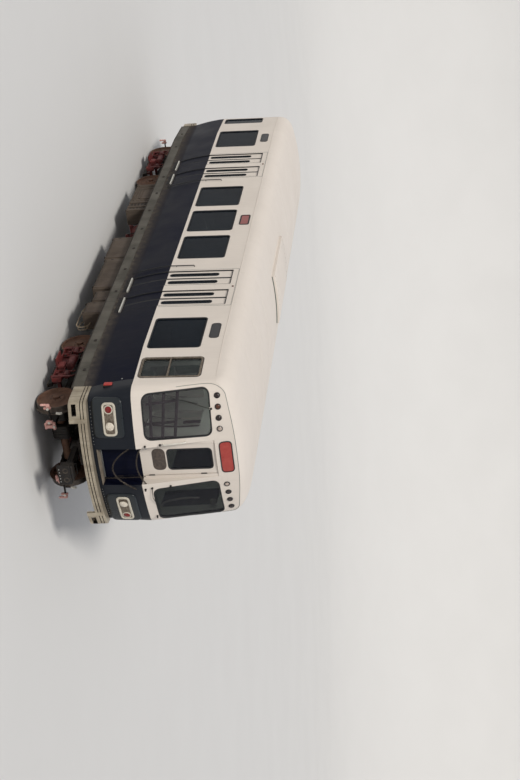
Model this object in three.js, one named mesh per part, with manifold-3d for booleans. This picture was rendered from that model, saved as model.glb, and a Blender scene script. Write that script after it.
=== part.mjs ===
// Subway car: one self-propelled passenger car with a cab at its front end.
// Millimetres, +Z up, Z = 0 at the lowest point of the wheel flanges.
// The front faces -Y. The near side is -X and the far side is +X.
import * as THREE from 'three';
import { mergeVertices } from 'three/addons/utils/BufferGeometryUtils.js';
import Module from 'manifold-3d';

// Fits between pieces
const SEAT = 0.3;                // gap between pieces that touch
const DOOR_GAP = 6;              // running gap above, below and beside a door

// Heights
const FLANGE_DEPTH = 25;         // how far the flanges reach below the rail top
const SILL_Z = 800;              // bottom edge of the body side
const FLOOR_UNDER_Z = 1120;
const FLOOR_Z = 1170;
const TREAD_Z = 1177;            // door threshold
const BELT_Z = 1898;             // line between the dark and the white paint
const WINDOW_Z = [1975, 2900];
const CAB_WINDOW_Z = [1975, 2992];
const DOOR_TOP_Z = 3144;
const EAVE_Z = 3280;             // where the side ends and the roof begins
const ROOF_Z = 3715;

// Body in plan
const BELT_HALF = 1422.4;        // half width at the belt
const FLOOR_HALF = 1309;         // half width at the floor
const UPPER_LEAN = 0.026;        // the side leans in by this share above the belt
const SIDE_CURVE = 1.6;          // power of the curve below the belt
const WALL = 50;                 // thickness of sides, ends and roof
const TAPER_Y = 5490;            // the sides pull in from here to the ends
const TAPER_IN = 87;
const TAPER_END_Y = 6656;
const FRONT_JOINT_Y = 6535;      // the sides meet the front mask here
const REAR_JOINT_Y = 6775;       // and the rear end here
const REAR_Y = 6870;
const ROOF_FRONT_Y = 5950;       // the roof sheet meets the front dome here

// Front face
const FACE_Y = 7197;
const FACE_CURVE = 0.000161;     // face set back by this times x squared
const FACE_LEAN_UP = 0.155;      // set back above the belt
const FACE_LEAN_DOWN = 0.057;    // set back below the belt
const FACE_HALF = 1170;          // the corner curve starts here
const BROW_Z = [3280, 3287, 3312, 3368, 3432, 3480, 3519, 3541, 3547];  // side to centre
const RECESS_HALF = 356;

// End beams, ribbed in front and deeper at their corners
const BEAM_Z = [1000, 1155];
const BEAM_FORWARD = 140;
const APRON_Z = 850;
const APRON_X = 930;             // the deeper corners begin here

// Side doors: four leaves in two openings at each doorway
const DOORWAY_Y = 3210;
const DOORWAY_HALF = 735;
const POST_HALF = 120;
const LEAF_INSET = 18;           // leaf face behind the side's face
const LEAF_THICK = 30;
const LEAF_GAP = 18;             // leaf to jamb
const SEAM_GAP = 58;             // leaf to leaf, filled by soft noses
const LEAF_WIDTH = (DOORWAY_HALF - POST_HALF - 2 * LEAF_GAP - SEAM_GAP) / 2;
const PIVOT_IN = 30;             // leaf edge to pivot
const PIVOT_X = 1291;
const PIVOT_R = 12;

// End doors
const STORM_HALF = 300;
const STORM_THICK = 40;
const STORM_TOP_Z = 3190;
const STORM_FRONT_Y = -6925;     // inner face, which is also the hinge line
const STORM_REAR_Y = 6815;

// Running gear
const TRUCK_Y = 5131;
const HALF_BASE = 990.5;         // half the wheelbase
const WHEEL_R = 355.5;
const FLANGE_R = WHEEL_R + FLANGE_DEPTH;
const AXLE_Z = FLANGE_R;
const AXLE_R = 70;
const WHEEL_SIDES = 24;
const WHEEL_BACK = 681;          // inner face of the wheel
const WHEEL_FACE = 816;          // outer face of the wheel
const COUPLER_Y = 7355;
const COUPLER_PIVOT_Y = 6450;

const wasm = await Module();
wasm.setup();

const LOOKS = {
  whitePaint: { color: 0xe4ddcd, roughness: 0.5, metalness: 0.0 },
  greenPaint: { color: 0x18242b, roughness: 0.45, metalness: 0.0 },
  bareAluminium: { color: 0x9a958a, roughness: 0.5, metalness: 0.8 },
  glass: { color: 0x20272c, roughness: 0.1, metalness: 0.0 },
  frameSteel: { color: 0x2c2724, roughness: 0.8, metalness: 0.2 },
  wheelSteel: { color: 0x5a4638, roughness: 0.7, metalness: 0.6 },
  redPaint: { color: 0x6e2420, roughness: 0.6, metalness: 0.0 },
  boxPaint: { color: 0x6f675b, roughness: 0.7, metalness: 0.0 },
  innerPanel: { color: 0x9fb3a2, roughness: 0.6, metalness: 0.0 },
  seatVinyl: { color: 0x3c5a4c, roughness: 0.6, metalness: 0.0 },
  couplerSteel: { color: 0x35302c, roughness: 0.7, metalness: 0.5 },
};

const car = new THREE.Group();

// Closed meshes to solids and back

function signedVolume(positions, index) {
  const a = new THREE.Vector3();
  const b = new THREE.Vector3();
  const c = new THREE.Vector3();
  let total = 0;
  for (let i = 0; i < index.length; i += 3) {
    a.fromArray(positions, index[i] * 3);
    b.fromArray(positions, index[i + 1] * 3);
    c.fromArray(positions, index[i + 2] * 3);
    total += a.dot(b.cross(c));
  }
  return total / 6;
}

function toSolid(geometry) {
  geometry.deleteAttribute('normal');
  geometry.deleteAttribute('uv');
  const merged = mergeVertices(geometry, 0.001);
  const vertProperties = new Float32Array(merged.attributes.position.array);
  const triVerts = new Uint32Array(merged.index.array);
  if (signedVolume(vertProperties, triVerts) < 0) {
    for (let i = 0; i < triVerts.length; i += 3) {
      [triVerts[i], triVerts[i + 1]] = [triVerts[i + 1], triVerts[i]];
    }
  }
  return new wasm.Manifold(new wasm.Mesh({ numProp: 3, vertProperties, triVerts }));
}

function fromSolid(solid) {
  const mesh = solid.getMesh();
  const geometry = new THREE.BufferGeometry();
  geometry.setAttribute('position', new THREE.BufferAttribute(new Float32Array(mesh.vertProperties), 3));
  geometry.setIndex(new THREE.BufferAttribute(new Uint32Array(mesh.triVerts), 1));
  geometry.computeVertexNormals();
  return geometry;
}

function union(solids) {
  return solids.reduce((sum, solid) => sum.add(solid));
}

function cut(solid, cutters) {
  return cutters.reduce((rest, cutter) => rest.subtract(cutter), solid);
}

function addPart(name, solid, look) {
  const mesh = new THREE.Mesh(fromSolid(solid), new THREE.MeshStandardMaterial(LOOKS[look]));
  mesh.name = name;
  car.add(mesh);
}

// Simple shapes

function box(x0, x1, y0, y1, z0, z1) {
  const geometry = new THREE.BoxGeometry(Math.abs(x1 - x0), Math.abs(y1 - y0), Math.abs(z1 - z0));
  geometry.translate((x0 + x1) / 2, (y0 + y1) / 2, (z0 + z1) / 2);
  return toSolid(geometry);
}

function upright(radius, x, y, z0, z1, sides = 16) {
  const geometry = new THREE.CylinderGeometry(radius, radius, z1 - z0, sides);
  geometry.rotateX(Math.PI / 2);
  geometry.translate(x, y, (z0 + z1) / 2);
  return toSolid(geometry);
}

function alongX(radius, x0, x1, y, z, sides = 24) {
  const geometry = new THREE.CylinderGeometry(radius, radius, Math.abs(x1 - x0), sides);
  geometry.rotateZ(Math.PI / 2);
  geometry.translate((x0 + x1) / 2, y, z);
  return toSolid(geometry);
}

function alongY(radius, y0, y1, x, z, sides = 24) {
  const geometry = new THREE.CylinderGeometry(radius, radius, Math.abs(y1 - y0), sides);
  geometry.translate(x, (y0 + y1) / 2, z);
  return toSolid(geometry);
}

// A shape drawn in two of the axes and extruded along the third
function prism(shape, axis, low, high) {
  const geometry = new THREE.ExtrudeGeometry(shape, { depth: high - low, bevelEnabled: false, curveSegments: 4 });
  const position = geometry.attributes.position;
  for (let i = 0; i < position.count; i += 1) {
    const u = position.getX(i);
    const v = position.getY(i);
    const w = position.getZ(i) + low;
    if (axis === 'x') position.setXYZ(i, w, u, v);
    if (axis === 'y') position.setXYZ(i, u, w, v);
    if (axis === 'z') position.setXYZ(i, u, v, w);
  }
  return toSolid(geometry);
}

// A shape with straight sides and round corners, from its corners in order
function roundedShape(corners, radius) {
  const shape = new THREE.Shape();
  const count = corners.length;
  corners.forEach((corner, i) => {
    const here = new THREE.Vector2(...corner);
    const before = new THREE.Vector2(...corners[(i + count - 1) % count]);
    const after = new THREE.Vector2(...corners[(i + 1) % count]);
    const from = before.sub(here).setLength(radius).add(here);
    const to = after.sub(here).setLength(radius).add(here);
    if (i === 0) shape.moveTo(from.x, from.y);
    else shape.lineTo(from.x, from.y);
    shape.quadraticCurveTo(here.x, here.y, to.x, to.y);
  });
  shape.closePath();
  return shape;
}

function roundedRect(u0, u1, v0, v1, radius) {
  return roundedShape([[u0, v0], [u1, v0], [u1, v1], [u0, v1]], radius);
}

// A curved plate between an outer and an inner grid of points
function plate(outer, inner) {
  const columns = outer.length;
  const rows = outer[0].length;
  const points = [...outer.flat(), ...inner.flat()];
  const at = (layer, i, j) => layer * columns * rows + i * rows + j;
  const index = [];
  const quad = (a, b, c, d) => index.push(a, b, c, a, c, d);
  for (let i = 0; i < columns - 1; i += 1) {
    for (let j = 0; j < rows - 1; j += 1) {
      quad(at(0, i, j), at(0, i + 1, j), at(0, i + 1, j + 1), at(0, i, j + 1));
      quad(at(1, i, j), at(1, i, j + 1), at(1, i + 1, j + 1), at(1, i + 1, j));
    }
    quad(at(0, i, 0), at(1, i, 0), at(1, i + 1, 0), at(0, i + 1, 0));
    quad(at(0, i, rows - 1), at(0, i + 1, rows - 1), at(1, i + 1, rows - 1), at(1, i, rows - 1));
  }
  for (let j = 0; j < rows - 1; j += 1) {
    quad(at(0, 0, j), at(0, 0, j + 1), at(1, 0, j + 1), at(1, 0, j));
    quad(at(0, columns - 1, j), at(1, columns - 1, j), at(1, columns - 1, j + 1), at(0, columns - 1, j + 1));
  }
  const geometry = new THREE.BufferGeometry();
  geometry.setAttribute('position', new THREE.BufferAttribute(new Float32Array(points.flat()), 3));
  geometry.setIndex(index);
  return toSolid(geometry);
}

// A solid lofted through rings with the same number of points
function loft(rings) {
  const count = rings[0].length;
  const index = [];
  for (let r = 0; r < rings.length - 1; r += 1) {
    for (let i = 0; i < count; i += 1) {
      const a = r * count + i;
      const b = r * count + ((i + 1) % count);
      index.push(a, b, b + count, a, b + count, a + count);
    }
  }
  const spread = (k) => Math.max(...rings[0].map((p) => p[k])) - Math.min(...rings[0].map((p) => p[k]));
  const flat = [0, 1, 2].sort((a, b) => spread(b) - spread(a)).slice(0, 2).sort();
  const flatten = (ring) => ring.map((p) => new THREE.Vector2(p[flat[0]], p[flat[1]]));
  const last = (rings.length - 1) * count;
  THREE.ShapeUtils.triangulateShape(flatten(rings[0]), []).forEach(([a, b, c]) => index.push(c, b, a));
  THREE.ShapeUtils.triangulateShape(flatten(rings[rings.length - 1]), []).forEach(
    ([a, b, c]) => index.push(last + a, last + b, last + c),
  );
  const geometry = new THREE.BufferGeometry();
  geometry.setAttribute('position', new THREE.BufferAttribute(new Float32Array(rings.flat(2)), 3));
  geometry.setIndex(index);
  return capsOutward(geometry, count, rings.length);
}

// The caps of a loft turn the same way as its sides
function capsOutward(geometry, count, rings) {
  const index = geometry.index.array;
  const sides = (rings - 1) * count * 6;
  const edge = new Set();
  for (let i = 0; i < sides; i += 3) {
    edge.add(`${index[i]},${index[i + 1]}`);
    edge.add(`${index[i + 1]},${index[i + 2]}`);
    edge.add(`${index[i + 2]},${index[i]}`);
  }
  const half = sides + (index.length - sides) / 2;
  [[sides, half], [half, index.length]].forEach(([from, to]) => {
    let wrong = false;
    for (let i = from; i < to; i += 3) {
      wrong = wrong || edge.has(`${index[i]},${index[i + 1]}`) || edge.has(`${index[i + 1]},${index[i + 2]}`);
    }
    for (let i = from; wrong && i < to; i += 3) {
      [index[i], index[i + 1]] = [index[i + 1], index[i]];
    }
  });
  return toSolid(geometry);
}

// The body's outer form

const mix = (a, b, t) => a + (b - a) * t;

function halfWidth(z) {
  if (z <= TREAD_Z) return FLOOR_HALF;
  if (z < BELT_Z) {
    const share = (BELT_Z - z) / (BELT_Z - TREAD_Z);
    return BELT_HALF - (BELT_HALF - FLOOR_HALF) * share ** SIDE_CURVE;
  }
  return BELT_HALF - UPPER_LEAN * (z - BELT_Z);
}

function taper(y) {
  return TAPER_IN * Math.max(0, Math.abs(y) - TAPER_Y) / (TAPER_END_Y - TAPER_Y);
}

const CURVE_LEVELS = [TREAD_Z, 1330, 1510, 1700];
const SIDE_LEVELS = [SILL_Z, ...CURVE_LEVELS, BELT_Z, EAVE_Z - SEAT];

// A length of the body side between two depths below its outer face
function sidePlate(side, y0, y1, depth0, depth1, levels = SIDE_LEVELS) {
  const inner = [-TAPER_Y, TAPER_Y].filter((y) => y > y0 && y < y1);
  const stations = [y0, ...inner, y1];
  const grid = (depth) => stations.map(
    (y) => levels.map((z) => [side * (halfWidth(z) - taper(y) - depth), y, z]),
  );
  return plate(grid(depth0), grid(depth1));
}

// Half of the roof's section from the eave to the centre, as [x, z]
function roofHalf(y, depth) {
  const eaveX = halfWidth(EAVE_Z) - taper(y) - depth;
  const shoulderX = 1050 - taper(y) - depth * 0.5;
  const rise = (x) => ROOF_Z - depth - (x * x) / 10000;
  const slope = (2 * shoulderX) / 10000;
  const knee = [eaveX, rise(shoulderX) - slope * (eaveX - shoulderX)];
  const cove = [0, 0.25, 0.5, 0.75, 1].map((u) => [
    (1 - u) ** 2 * eaveX + 2 * u * (1 - u) * knee[0] + u * u * shoulderX,
    (1 - u) ** 2 * EAVE_Z + 2 * u * (1 - u) * knee[1] + u * u * rise(shoulderX),
  ]);
  const crown = [0.8, 0.55, 0.28, 0].map((share) => [share * shoulderX, rise(share * shoulderX)]);
  return [...cove, ...crown];
}

// Both halves of a list that runs from the side to the centre
function mirrored(half) {
  const left = half.map(([x, ...rest]) => [-x, ...rest]);
  return [...left, ...half.slice(0, -1).reverse()];
}

function faceY(x, z, depth, forward = 0) {
  const lean = z > BELT_Z ? FACE_LEAN_UP * (z - BELT_Z) : FACE_LEAN_DOWN * (BELT_Z - z);
  return -(FACE_Y + forward) + FACE_CURVE * x * x + lean + depth;
}

function rearFaceY(x, z, depth, forward = 0) {
  return -(REAR_Y + forward) + depth;
}

const FRONT_PLAN = { face: faceY, jointY: FRONT_JOINT_Y };
const REAR_PLAN = { face: rearFaceY, jointY: REAR_JOINT_Y };

// Point i of an end's plan, 0 at the side and 8 at the centre, at height z
function frontPoint(i, z, depth, forward = 0, plan = FRONT_PLAN) {
  const sideX = halfWidth(z) - taper(plan.jointY) - depth;
  const faceX = FACE_HALF - depth;
  if (i === 0) return [sideX, -plan.jointY, z];
  if (i > 4) {
    const x = [900, 600, 300, 0][i - 5];
    return [x, plan.face(x, z, depth, forward), z];
  }
  const cornerY = plan.face(sideX, z, depth, forward);
  const round = Math.min(mix(200, 130, Math.max(0, (z - BELT_Z) / 1500)), -plan.jointY - 10 - cornerY);
  const startY = cornerY + round;
  const u = (i - 1) / 3;
  return [
    (1 - u) ** 2 * sideX + 2 * u * (1 - u) * sideX + u * u * faceX,
    (1 - u) ** 2 * startY + 2 * u * (1 - u) * cornerY + u * u * plan.face(faceX, z, depth, forward),
    z,
  ];
}

const FRONT_POINTS = [0, 1, 2, 3, 4, 5, 6, 7, 8];

// Columns of points around the front between a low and a high line
function frontGrid(lowZ, highZ, depth, shares) {
  const half = FRONT_POINTS.map((i) => shares.map((t) => frontPoint(i, mix(lowZ(i), highZ(i), t), depth)));
  const left = half.map((column) => column.map(([x, y, z]) => [-x, y, z]));
  return [...left, ...half.slice(0, -1).reverse()];
}

function frontPlate(lowZ, highZ, depth0, depth1, shares) {
  return plate(frontGrid(lowZ, highZ, depth0, shares), frontGrid(lowZ, highZ, depth1, shares));
}

// The front as a filled block back to its joint with the sides
function frontBlock(lowZ, highZ, depth, shares, forward = 0) {
  const rings = shares.map((t) => mirrored(
    FRONT_POINTS.map((i) => frontPoint(i, mix(lowZ(i), highZ(i), t), depth, forward)),
  ));
  return loft(rings);
}

// Windows, as [low y, high y, low z, high z, corner radius]
const WINDOW_ROUND = 70;
const MIDDLE_WINDOWS = [[-1885, -805], [-540, 540], [805, 1885]].map((ys) => [...ys, ...WINDOW_Z, WINDOW_ROUND]);
const END_WINDOWS = {
  front: [[4475, 5585, ...WINDOW_Z, WINDOW_ROUND], [5915, 6480, ...CAB_WINDOW_Z, 60]],
  rear: [[4475, 5585, ...WINDOW_Z, WINDOW_ROUND], [6330, 6740, ...WINDOW_Z, 60]],
};

function windowCutter(side, [y0, y1, z0, z1, radius]) {
  const span = side > 0 ? [1200, 1500] : [-1500, -1200];
  return prism(roundedRect(y0, y1, z0, z1, radius), 'x', ...span);
}

const SIDES = [['near', -1], ['far', 1]];
const ENDS = [['front', -1], ['rear', 1]];

// The two openings of a doorway, from its middle
const OPENINGS = [[-DOORWAY_HALF, -POST_HALF], [POST_HALF, DOORWAY_HALF]];

// Window glass lies in a slot in the wall, between these depths below the outer face
const GLASS_DEPTH = [20, 28];
const GLASS_RIM = 40;            // glass hidden in the wall beyond the edge of its window

function glassStrip(side, [y0, y1, z1], grow = 0) {
  const [depth0, depth1] = GLASS_DEPTH;
  return sidePlate(
    side, y0 - grow, y1 + grow, depth0 - grow, depth1 + grow, [WINDOW_Z[0] - GLASS_RIM - grow, z1 + grow],
  );
}

// The strips, as [low y, high y, high z]
const MIDDLE_STRIP = [MIDDLE_WINDOWS[0][0] - GLASS_RIM, MIDDLE_WINDOWS[2][1] + GLASS_RIM, WINDOW_Z[1] + GLASS_RIM];

function endStrip(end) {
  const windows = END_WINDOWS[end < 0 ? 'front' : 'rear'];
  const ys = [end * (windows[0][0] - GLASS_RIM), end * (windows[1][1] + GLASS_RIM - 10)].sort((a, b) => a - b);
  return [...ys, windows[1][3] + GLASS_RIM];
}

function middleSide(side) {
  const reach = DOORWAY_Y + DOORWAY_HALF - SEAT;
  const sheet = sidePlate(side, -reach, reach, 0, WALL);
  const doorCutters = ENDS.flatMap(([, end]) => OPENINGS.map(([a, b]) => box(
    side * 1200, side * 1500, end * DOORWAY_Y + a, end * DOORWAY_Y + b, TREAD_Z, DOOR_TOP_Z,
  )));
  const cases = ENDS.map(([, end]) => box(
    side * 1200, side * 1345,
    end * DOORWAY_Y - DOORWAY_HALF + 1, end * DOORWAY_Y + DOORWAY_HALF - 1, DOOR_TOP_Z, 3270,
  ));
  const windows = MIDDLE_WINDOWS.map((w) => windowCutter(side, w));
  return union([cut(sheet, [...windows, ...doorCutters, glassStrip(side, MIDDLE_STRIP, SEAT)]), ...cases]);
}

function endSide(side, end) {
  const jointY = end < 0 ? FRONT_JOINT_Y : REAR_JOINT_Y;
  const ys = [end * (DOORWAY_Y + DOORWAY_HALF + SEAT), end * (jointY - SEAT)].sort((a, b) => a - b);
  const flip = ([y0, y1, ...rest]) => [...[end * y0, end * y1].sort((a, b) => a - b), ...rest];
  const windows = END_WINDOWS[end < 0 ? 'front' : 'rear'];
  const openings = windows.map((w) => windowCutter(side, flip(w)));
  return cut(sidePlate(side, ...ys, 0, WALL), [...openings, glassStrip(side, endStrip(end), SEAT)]);
}

SIDES.forEach(([sideName, side]) => {
  addPart(`${sideName}_middle_side`, middleSide(side), 'whitePaint');
  addPart(`${sideName}_middle_glass`, glassStrip(side, MIDDLE_STRIP), 'glass');
  ENDS.forEach(([endName, end]) => {
    addPart(`${sideName}_${endName}_side`, endSide(side, end), 'whitePaint');
    addPart(`${sideName}_${endName}_glass`, glassStrip(side, endStrip(end)), 'glass');
  });
});

// Roof with its long centre fairing

const HUMP_HALF = 530;
const HUMP_END_Y = 1035;
const HUMP_RISE = 65;            // height of its edge above the roof

function roof() {
  const stations = [-ROOF_FRONT_Y, -TAPER_Y, TAPER_Y, REAR_JOINT_Y - SEAT];
  const grid = (depth) => {
    const sections = stations.map((y) => mirrored(roofHalf(y, depth)));
    return sections[0].map((_, i) => sections.map((section, j) => [section[i][0], stations[j], section[i][1]]));
  };
  return union([plate(grid(0), grid(WALL)), fairing()]);
}

function fairing() {
  const xs = [-1, -0.97, -0.6, 0, 0.6, 0.97, 1].map((share) => share * HUMP_HALF);
  const stations = [-HUMP_END_Y, -HUMP_END_Y + 14, HUMP_END_Y - 14, HUMP_END_Y];
  const sheet = (x) => ROOF_Z - (x * x) / 10000;
  const top = xs.map((x, i) => stations.map((y, j) => {
    const low = i === 0 || i === xs.length - 1 || j === 0 || j === 3;
    return [x, y, sheet(x) + (low ? HUMP_RISE - 14 : HUMP_RISE)];
  }));
  const bottom = xs.map((x) => stations.map((y) => [x, y, sheet(x) - WALL / 2]));
  return plate(top, bottom);
}

addPart('roof', roof(), 'whitePaint');

// Front: mask with the windshields, dome over it, nose under the belt

const MASK_SHARES = [0, 0.25, 0.5, 0.75, 1];
const maskLow = () => BELT_Z + SEAT;
const maskHigh = (i) => BROW_Z[i];
const noseLow = () => BEAM_Z[1] + SEAT;
const noseHigh = () => BELT_Z - SEAT;
const NOSE_SHARES = [noseLow(), ...CURVE_LEVELS, noseHigh()].map((z) => (z - noseLow()) / (noseHigh() - noseLow()));
const WINDSHIELD = [[492, 2068], [1246, 2068], [1247, 3174], [448, 3174]];
const WINDSHIELD_ROUND = 130;
const WINDSHIELD_RIM = 25;       // glass hidden in the mask beyond the edge of its opening

function windshieldShape(side, grow) {
  const middle = [850, 2620];
  const corners = WINDSHIELD.map(([x, z]) => [
    side * (x + grow * Math.sign(x - middle[0])), z + grow * Math.sign(z - middle[1]),
  ]);
  return roundedShape(corners, WINDSHIELD_ROUND);
}

// The returns and the frame of the end door, which stands back in its recess
function doorSurround(z0, z1) {
  return SIDES.flatMap(([, side]) => [
    box(side * RECESS_HALF, side * (RECESS_HALF + 44), -7400, STORM_FRONT_Y, z0, z1),
    box(
      side * (STORM_HALF + DOOR_GAP), side * (RECESS_HALF + 44),
      STORM_FRONT_Y - STORM_THICK - 20, STORM_FRONT_Y, z0, z1,
    ),
  ]);
}

// Room for an end door's hinge pin in its frame
function hingeGroove(innerY) {
  return upright(PIVOT_R + DOOR_GAP, STORM_HALF, innerY, TREAD_Z, STORM_TOP_Z + DOOR_GAP);
}

function mask() {
  const shell = frontPlate(maskLow, maskHigh, 0, WALL, MASK_SHARES);
  const block = frontBlock(maskLow, maskHigh, 0, MASK_SHARES);
  const head = box(
    -RECESS_HALF - 44, RECESS_HALF + 44, STORM_FRONT_Y - STORM_THICK - 20, STORM_FRONT_Y,
    STORM_TOP_Z + DOOR_GAP, 3260,
  );
  const surround = union([...doorSurround(BELT_Z + SEAT, 3260), head]);
  const shields = SIDES.map(([, side]) => prism(windshieldShape(side, 0), 'y', -7400, -6550));
  const slots = SIDES.map(([, side]) => windshield(side, SEAT));
  const opening = box(-RECESS_HALF, RECESS_HALF, -7400, -6800, 1800, STORM_TOP_Z + DOOR_GAP);
  const open = cut(shell, [...shields, ...slots, opening]);
  return union([open, surround.intersect(block)]).subtract(hingeGroove(STORM_FRONT_Y));
}

function dome() {
  const grid = (depth) => {
    const half = FRONT_POINTS.map((i) => {
      const foot = frontPoint(i, BROW_Z[i], depth);
      const [roofX, roofZ] = roofHalf(-ROOF_FRONT_Y, depth)[i];
      const head = [roofX, -ROOF_FRONT_Y - SEAT, roofZ];
      const knee = [mix(foot[0], head[0], 0.3), mix(foot[1], head[1], 0.2), mix(foot[2], head[2], 0.9)];
      return [0, 0.2, 0.4, 0.6, 0.8, 1].map((t) => [0, 1, 2].map((k) => (
        (1 - t) ** 2 * foot[k] + 2 * t * (1 - t) * knee[k] + t * t * head[k] + (k === 2 ? SEAT * (1 - t) : 0)
      )));
    });
    const left = half.map((column) => column.map(([x, y, z]) => [-x, y, z]));
    return [...left, ...half.slice(0, -1).reverse()];
  };
  return plate(grid(0), grid(WALL));
}

// Raised lamp panels on the nose, as [low x, high x, low z, high z, radius, height]
const LAMP_PANELS = [[560, 1230, 1215, 1745, 90, 30], [640, 1180, 1405, 1620, 70, 48]];

function nose() {
  const shell = frontPlate(noseLow, noseHigh, 0, WALL, NOSE_SHARES);
  const block = frontBlock(noseLow, noseHigh, 0, NOSE_SHARES);
  const opening = box(-RECESS_HALF, RECESS_HALF, -7400, -6800, 1100, 2000);
  const surround = union(doorSurround(BEAM_Z[1] + SEAT, BELT_Z - SEAT)).intersect(block);
  const step = box(-RECESS_HALF - 20, RECESS_HALF + 20, -7100, STORM_FRONT_Y + 20, BEAM_Z[1] + SEAT, TREAD_Z);
  const panels = SIDES.flatMap(([, side]) => LAMP_PANELS.map(([x0, x1, z0, z1, round, height]) => {
    const raised = frontBlock(noseLow, noseHigh, -height, NOSE_SHARES);
    const pad = prism(roundedRect(Math.min(side * x0, side * x1), Math.max(side * x0, side * x1), z0, z1, round),
      'y', -7400, -6760);
    return raised.intersect(pad).subtract(frontBlock(noseLow, noseHigh, WALL - 5, NOSE_SHARES));
  }));
  return union([cut(shell, [opening]), surround, step, ...panels]).subtract(hingeGroove(STORM_FRONT_Y));
}

function windshield(side, grow = 0) {
  const [depth0, depth1] = GLASS_DEPTH;
  const layer = frontPlate(maskLow, maskHigh, depth0 - grow, depth1 + grow, MASK_SHARES);
  return layer.intersect(prism(windshieldShape(side, WINDSHIELD_RIM + grow), 'y', -7400, -6550));
}

addPart('front_mask', mask(), 'whitePaint');
addPart('front_dome', dome(), 'whitePaint');
addPart('front_nose', nose(), 'greenPaint');
SIDES.forEach(([sideName, side]) => addPart(`${sideName}_windshield`, windshield(side), 'glass'));

// Rear end: a flat end wall with rounded edges around a door

const REAR_STEP = 55;            // the step's reach inwards from the door

function rearRing(y, depth, bottomZ) {
  const levels = [BEAM_Z[1] + SEAT, ...CURVE_LEVELS, BELT_Z];
  const low = levels.map((z, i) => [halfWidth(z) - taper(REAR_JOINT_Y) - depth, i ? z : bottomZ]);
  const half = [...low, ...roofHalf(REAR_JOINT_Y, depth)];
  return mirrored(half).map(([x, z]) => [x, y, z]);
}

// The rounded edge of the rear end, as [distance in front of the wall, depth below the side's face]
const REAR_EDGE = [[80, 0], [35, 14], [12, 38], [0, 75]];

function rearEnd() {
  const edge = REAR_EDGE.map(([back, depth]) => [REAR_Y - back, depth]);
  const outside = loft([[REAR_JOINT_Y + SEAT, 0], ...edge].map(([y, depth]) => rearRing(y, depth, BEAM_Z[1] + SEAT)));
  const inside = loft([REAR_JOINT_Y - 10, REAR_Y - WALL].map((y) => rearRing(y, WALL, FLOOR_UNDER_Z - 20)));
  const opening = box(
    -STORM_HALF - DOOR_GAP, STORM_HALF + DOOR_GAP, STORM_REAR_Y - 100, REAR_Y + 10, TREAD_Z, STORM_TOP_Z + DOOR_GAP,
  );
  const step = box(
    -STORM_HALF - 60, STORM_HALF + 60, STORM_REAR_Y - REAR_STEP, REAR_Y - 20, BEAM_Z[1] + SEAT, TREAD_Z,
  );
  return union([cut(outside, [inside, opening, hingeGroove(STORM_REAR_Y)]), step]);
}

addPart('rear_end', rearEnd(), 'whitePaint');

// End doors, hinged on their far side edge and opening inwards

const STORM_WINDOW = [-198, 198, 2360, 3120, 75];
const PANE_THICK = 8;

function stormDoor(innerY, outward) {
  const ys = [innerY, innerY + outward * STORM_THICK].sort((a, b) => a - b);
  const leaf = box(-STORM_HALF, STORM_HALF, ...ys, TREAD_Z + DOOR_GAP, STORM_TOP_Z);
  const hole = prism(roundedRect(...STORM_WINDOW), 'y', innerY - 100, innerY + 100);
  const middle = (ys[0] + ys[1]) / 2;
  const [x0, x1, z0, z1] = STORM_WINDOW;
  const pane = box(x0 - 2, x1 + 2, middle - PANE_THICK / 2, middle + PANE_THICK / 2, z0 - 2, z1 + 2);
  const pin = upright(PIVOT_R, STORM_HALF, innerY, TREAD_Z + SEAT, STORM_TOP_Z);
  return union([cut(leaf, [hole]), pane, pin]);
}

addPart('front_storm_door', stormDoor(STORM_FRONT_Y, -1), 'whitePaint');
addPart('rear_storm_door', stormDoor(STORM_REAR_Y, 1), 'whitePaint');

// Side door leaves, bent as the body side is and hung on upright pivots

const LEAF_LEVELS = [TREAD_Z + DOOR_GAP, ...CURVE_LEVELS.slice(1), BELT_Z, DOOR_TOP_Z - DOOR_GAP];
const LEAF_WINDOW = [120, 1945, 2885, 58];   // width, low z, high z, corner radius

// The leaf runs from its pivot edge in the direction dir
function doorLeaf(side, edgeY, dir) {
  const start = edgeY + dir * LEAF_GAP;
  const ys = [start, start + dir * LEAF_WIDTH].sort((a, b) => a - b);
  const pivotY = start + dir * PIVOT_IN;
  const middle = (ys[0] + ys[1]) / 2;
  const [width, z0, z1, round] = LEAF_WINDOW;
  const sheet = sidePlate(side, ...ys, LEAF_INSET, LEAF_INSET + LEAF_THICK, LEAF_LEVELS);
  const hole = windowCutter(side, [middle - width / 2, middle + width / 2, z0, z1, round]);
  const paneDepth = LEAF_INSET + (LEAF_THICK - PANE_THICK) / 2;
  const pane = sidePlate(
    side, middle - width / 2 - 2, middle + width / 2 + 2, paneDepth, paneDepth + PANE_THICK, [z0 - 2, z1 + 2],
  );
  const arm = box(
    side * (PIVOT_X - PIVOT_R), side * 1360, pivotY - PIVOT_R, pivotY + PIVOT_R,
    DOOR_TOP_Z - DOOR_GAP - 30, DOOR_TOP_Z - DOOR_GAP,
  );
  const topPin = upright(PIVOT_R, side * PIVOT_X, pivotY, DOOR_TOP_Z - DOOR_GAP - 30, DOOR_TOP_Z - SEAT, 8);
  const lowPin = upright(PIVOT_R, side * PIVOT_X, pivotY, TREAD_Z + SEAT, TREAD_Z + 40, 8);
  return union([cut(sheet, [hole]), pane, arm, topPin, lowPin]);
}

SIDES.forEach(([sideName, side]) => {
  ENDS.forEach(([endName, end]) => {
    OPENINGS.forEach(([low, high], k) => {
      const middle = end * DOORWAY_Y;
      const name = `${sideName}_${endName}_leaf`;
      addPart(`${name}_${2 * k + 1}`, doorLeaf(side, middle + low, 1), 'whitePaint');
      addPart(`${name}_${2 * k + 2}`, doorLeaf(side, middle + high, -1), 'whitePaint');
    });
  });
});

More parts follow.
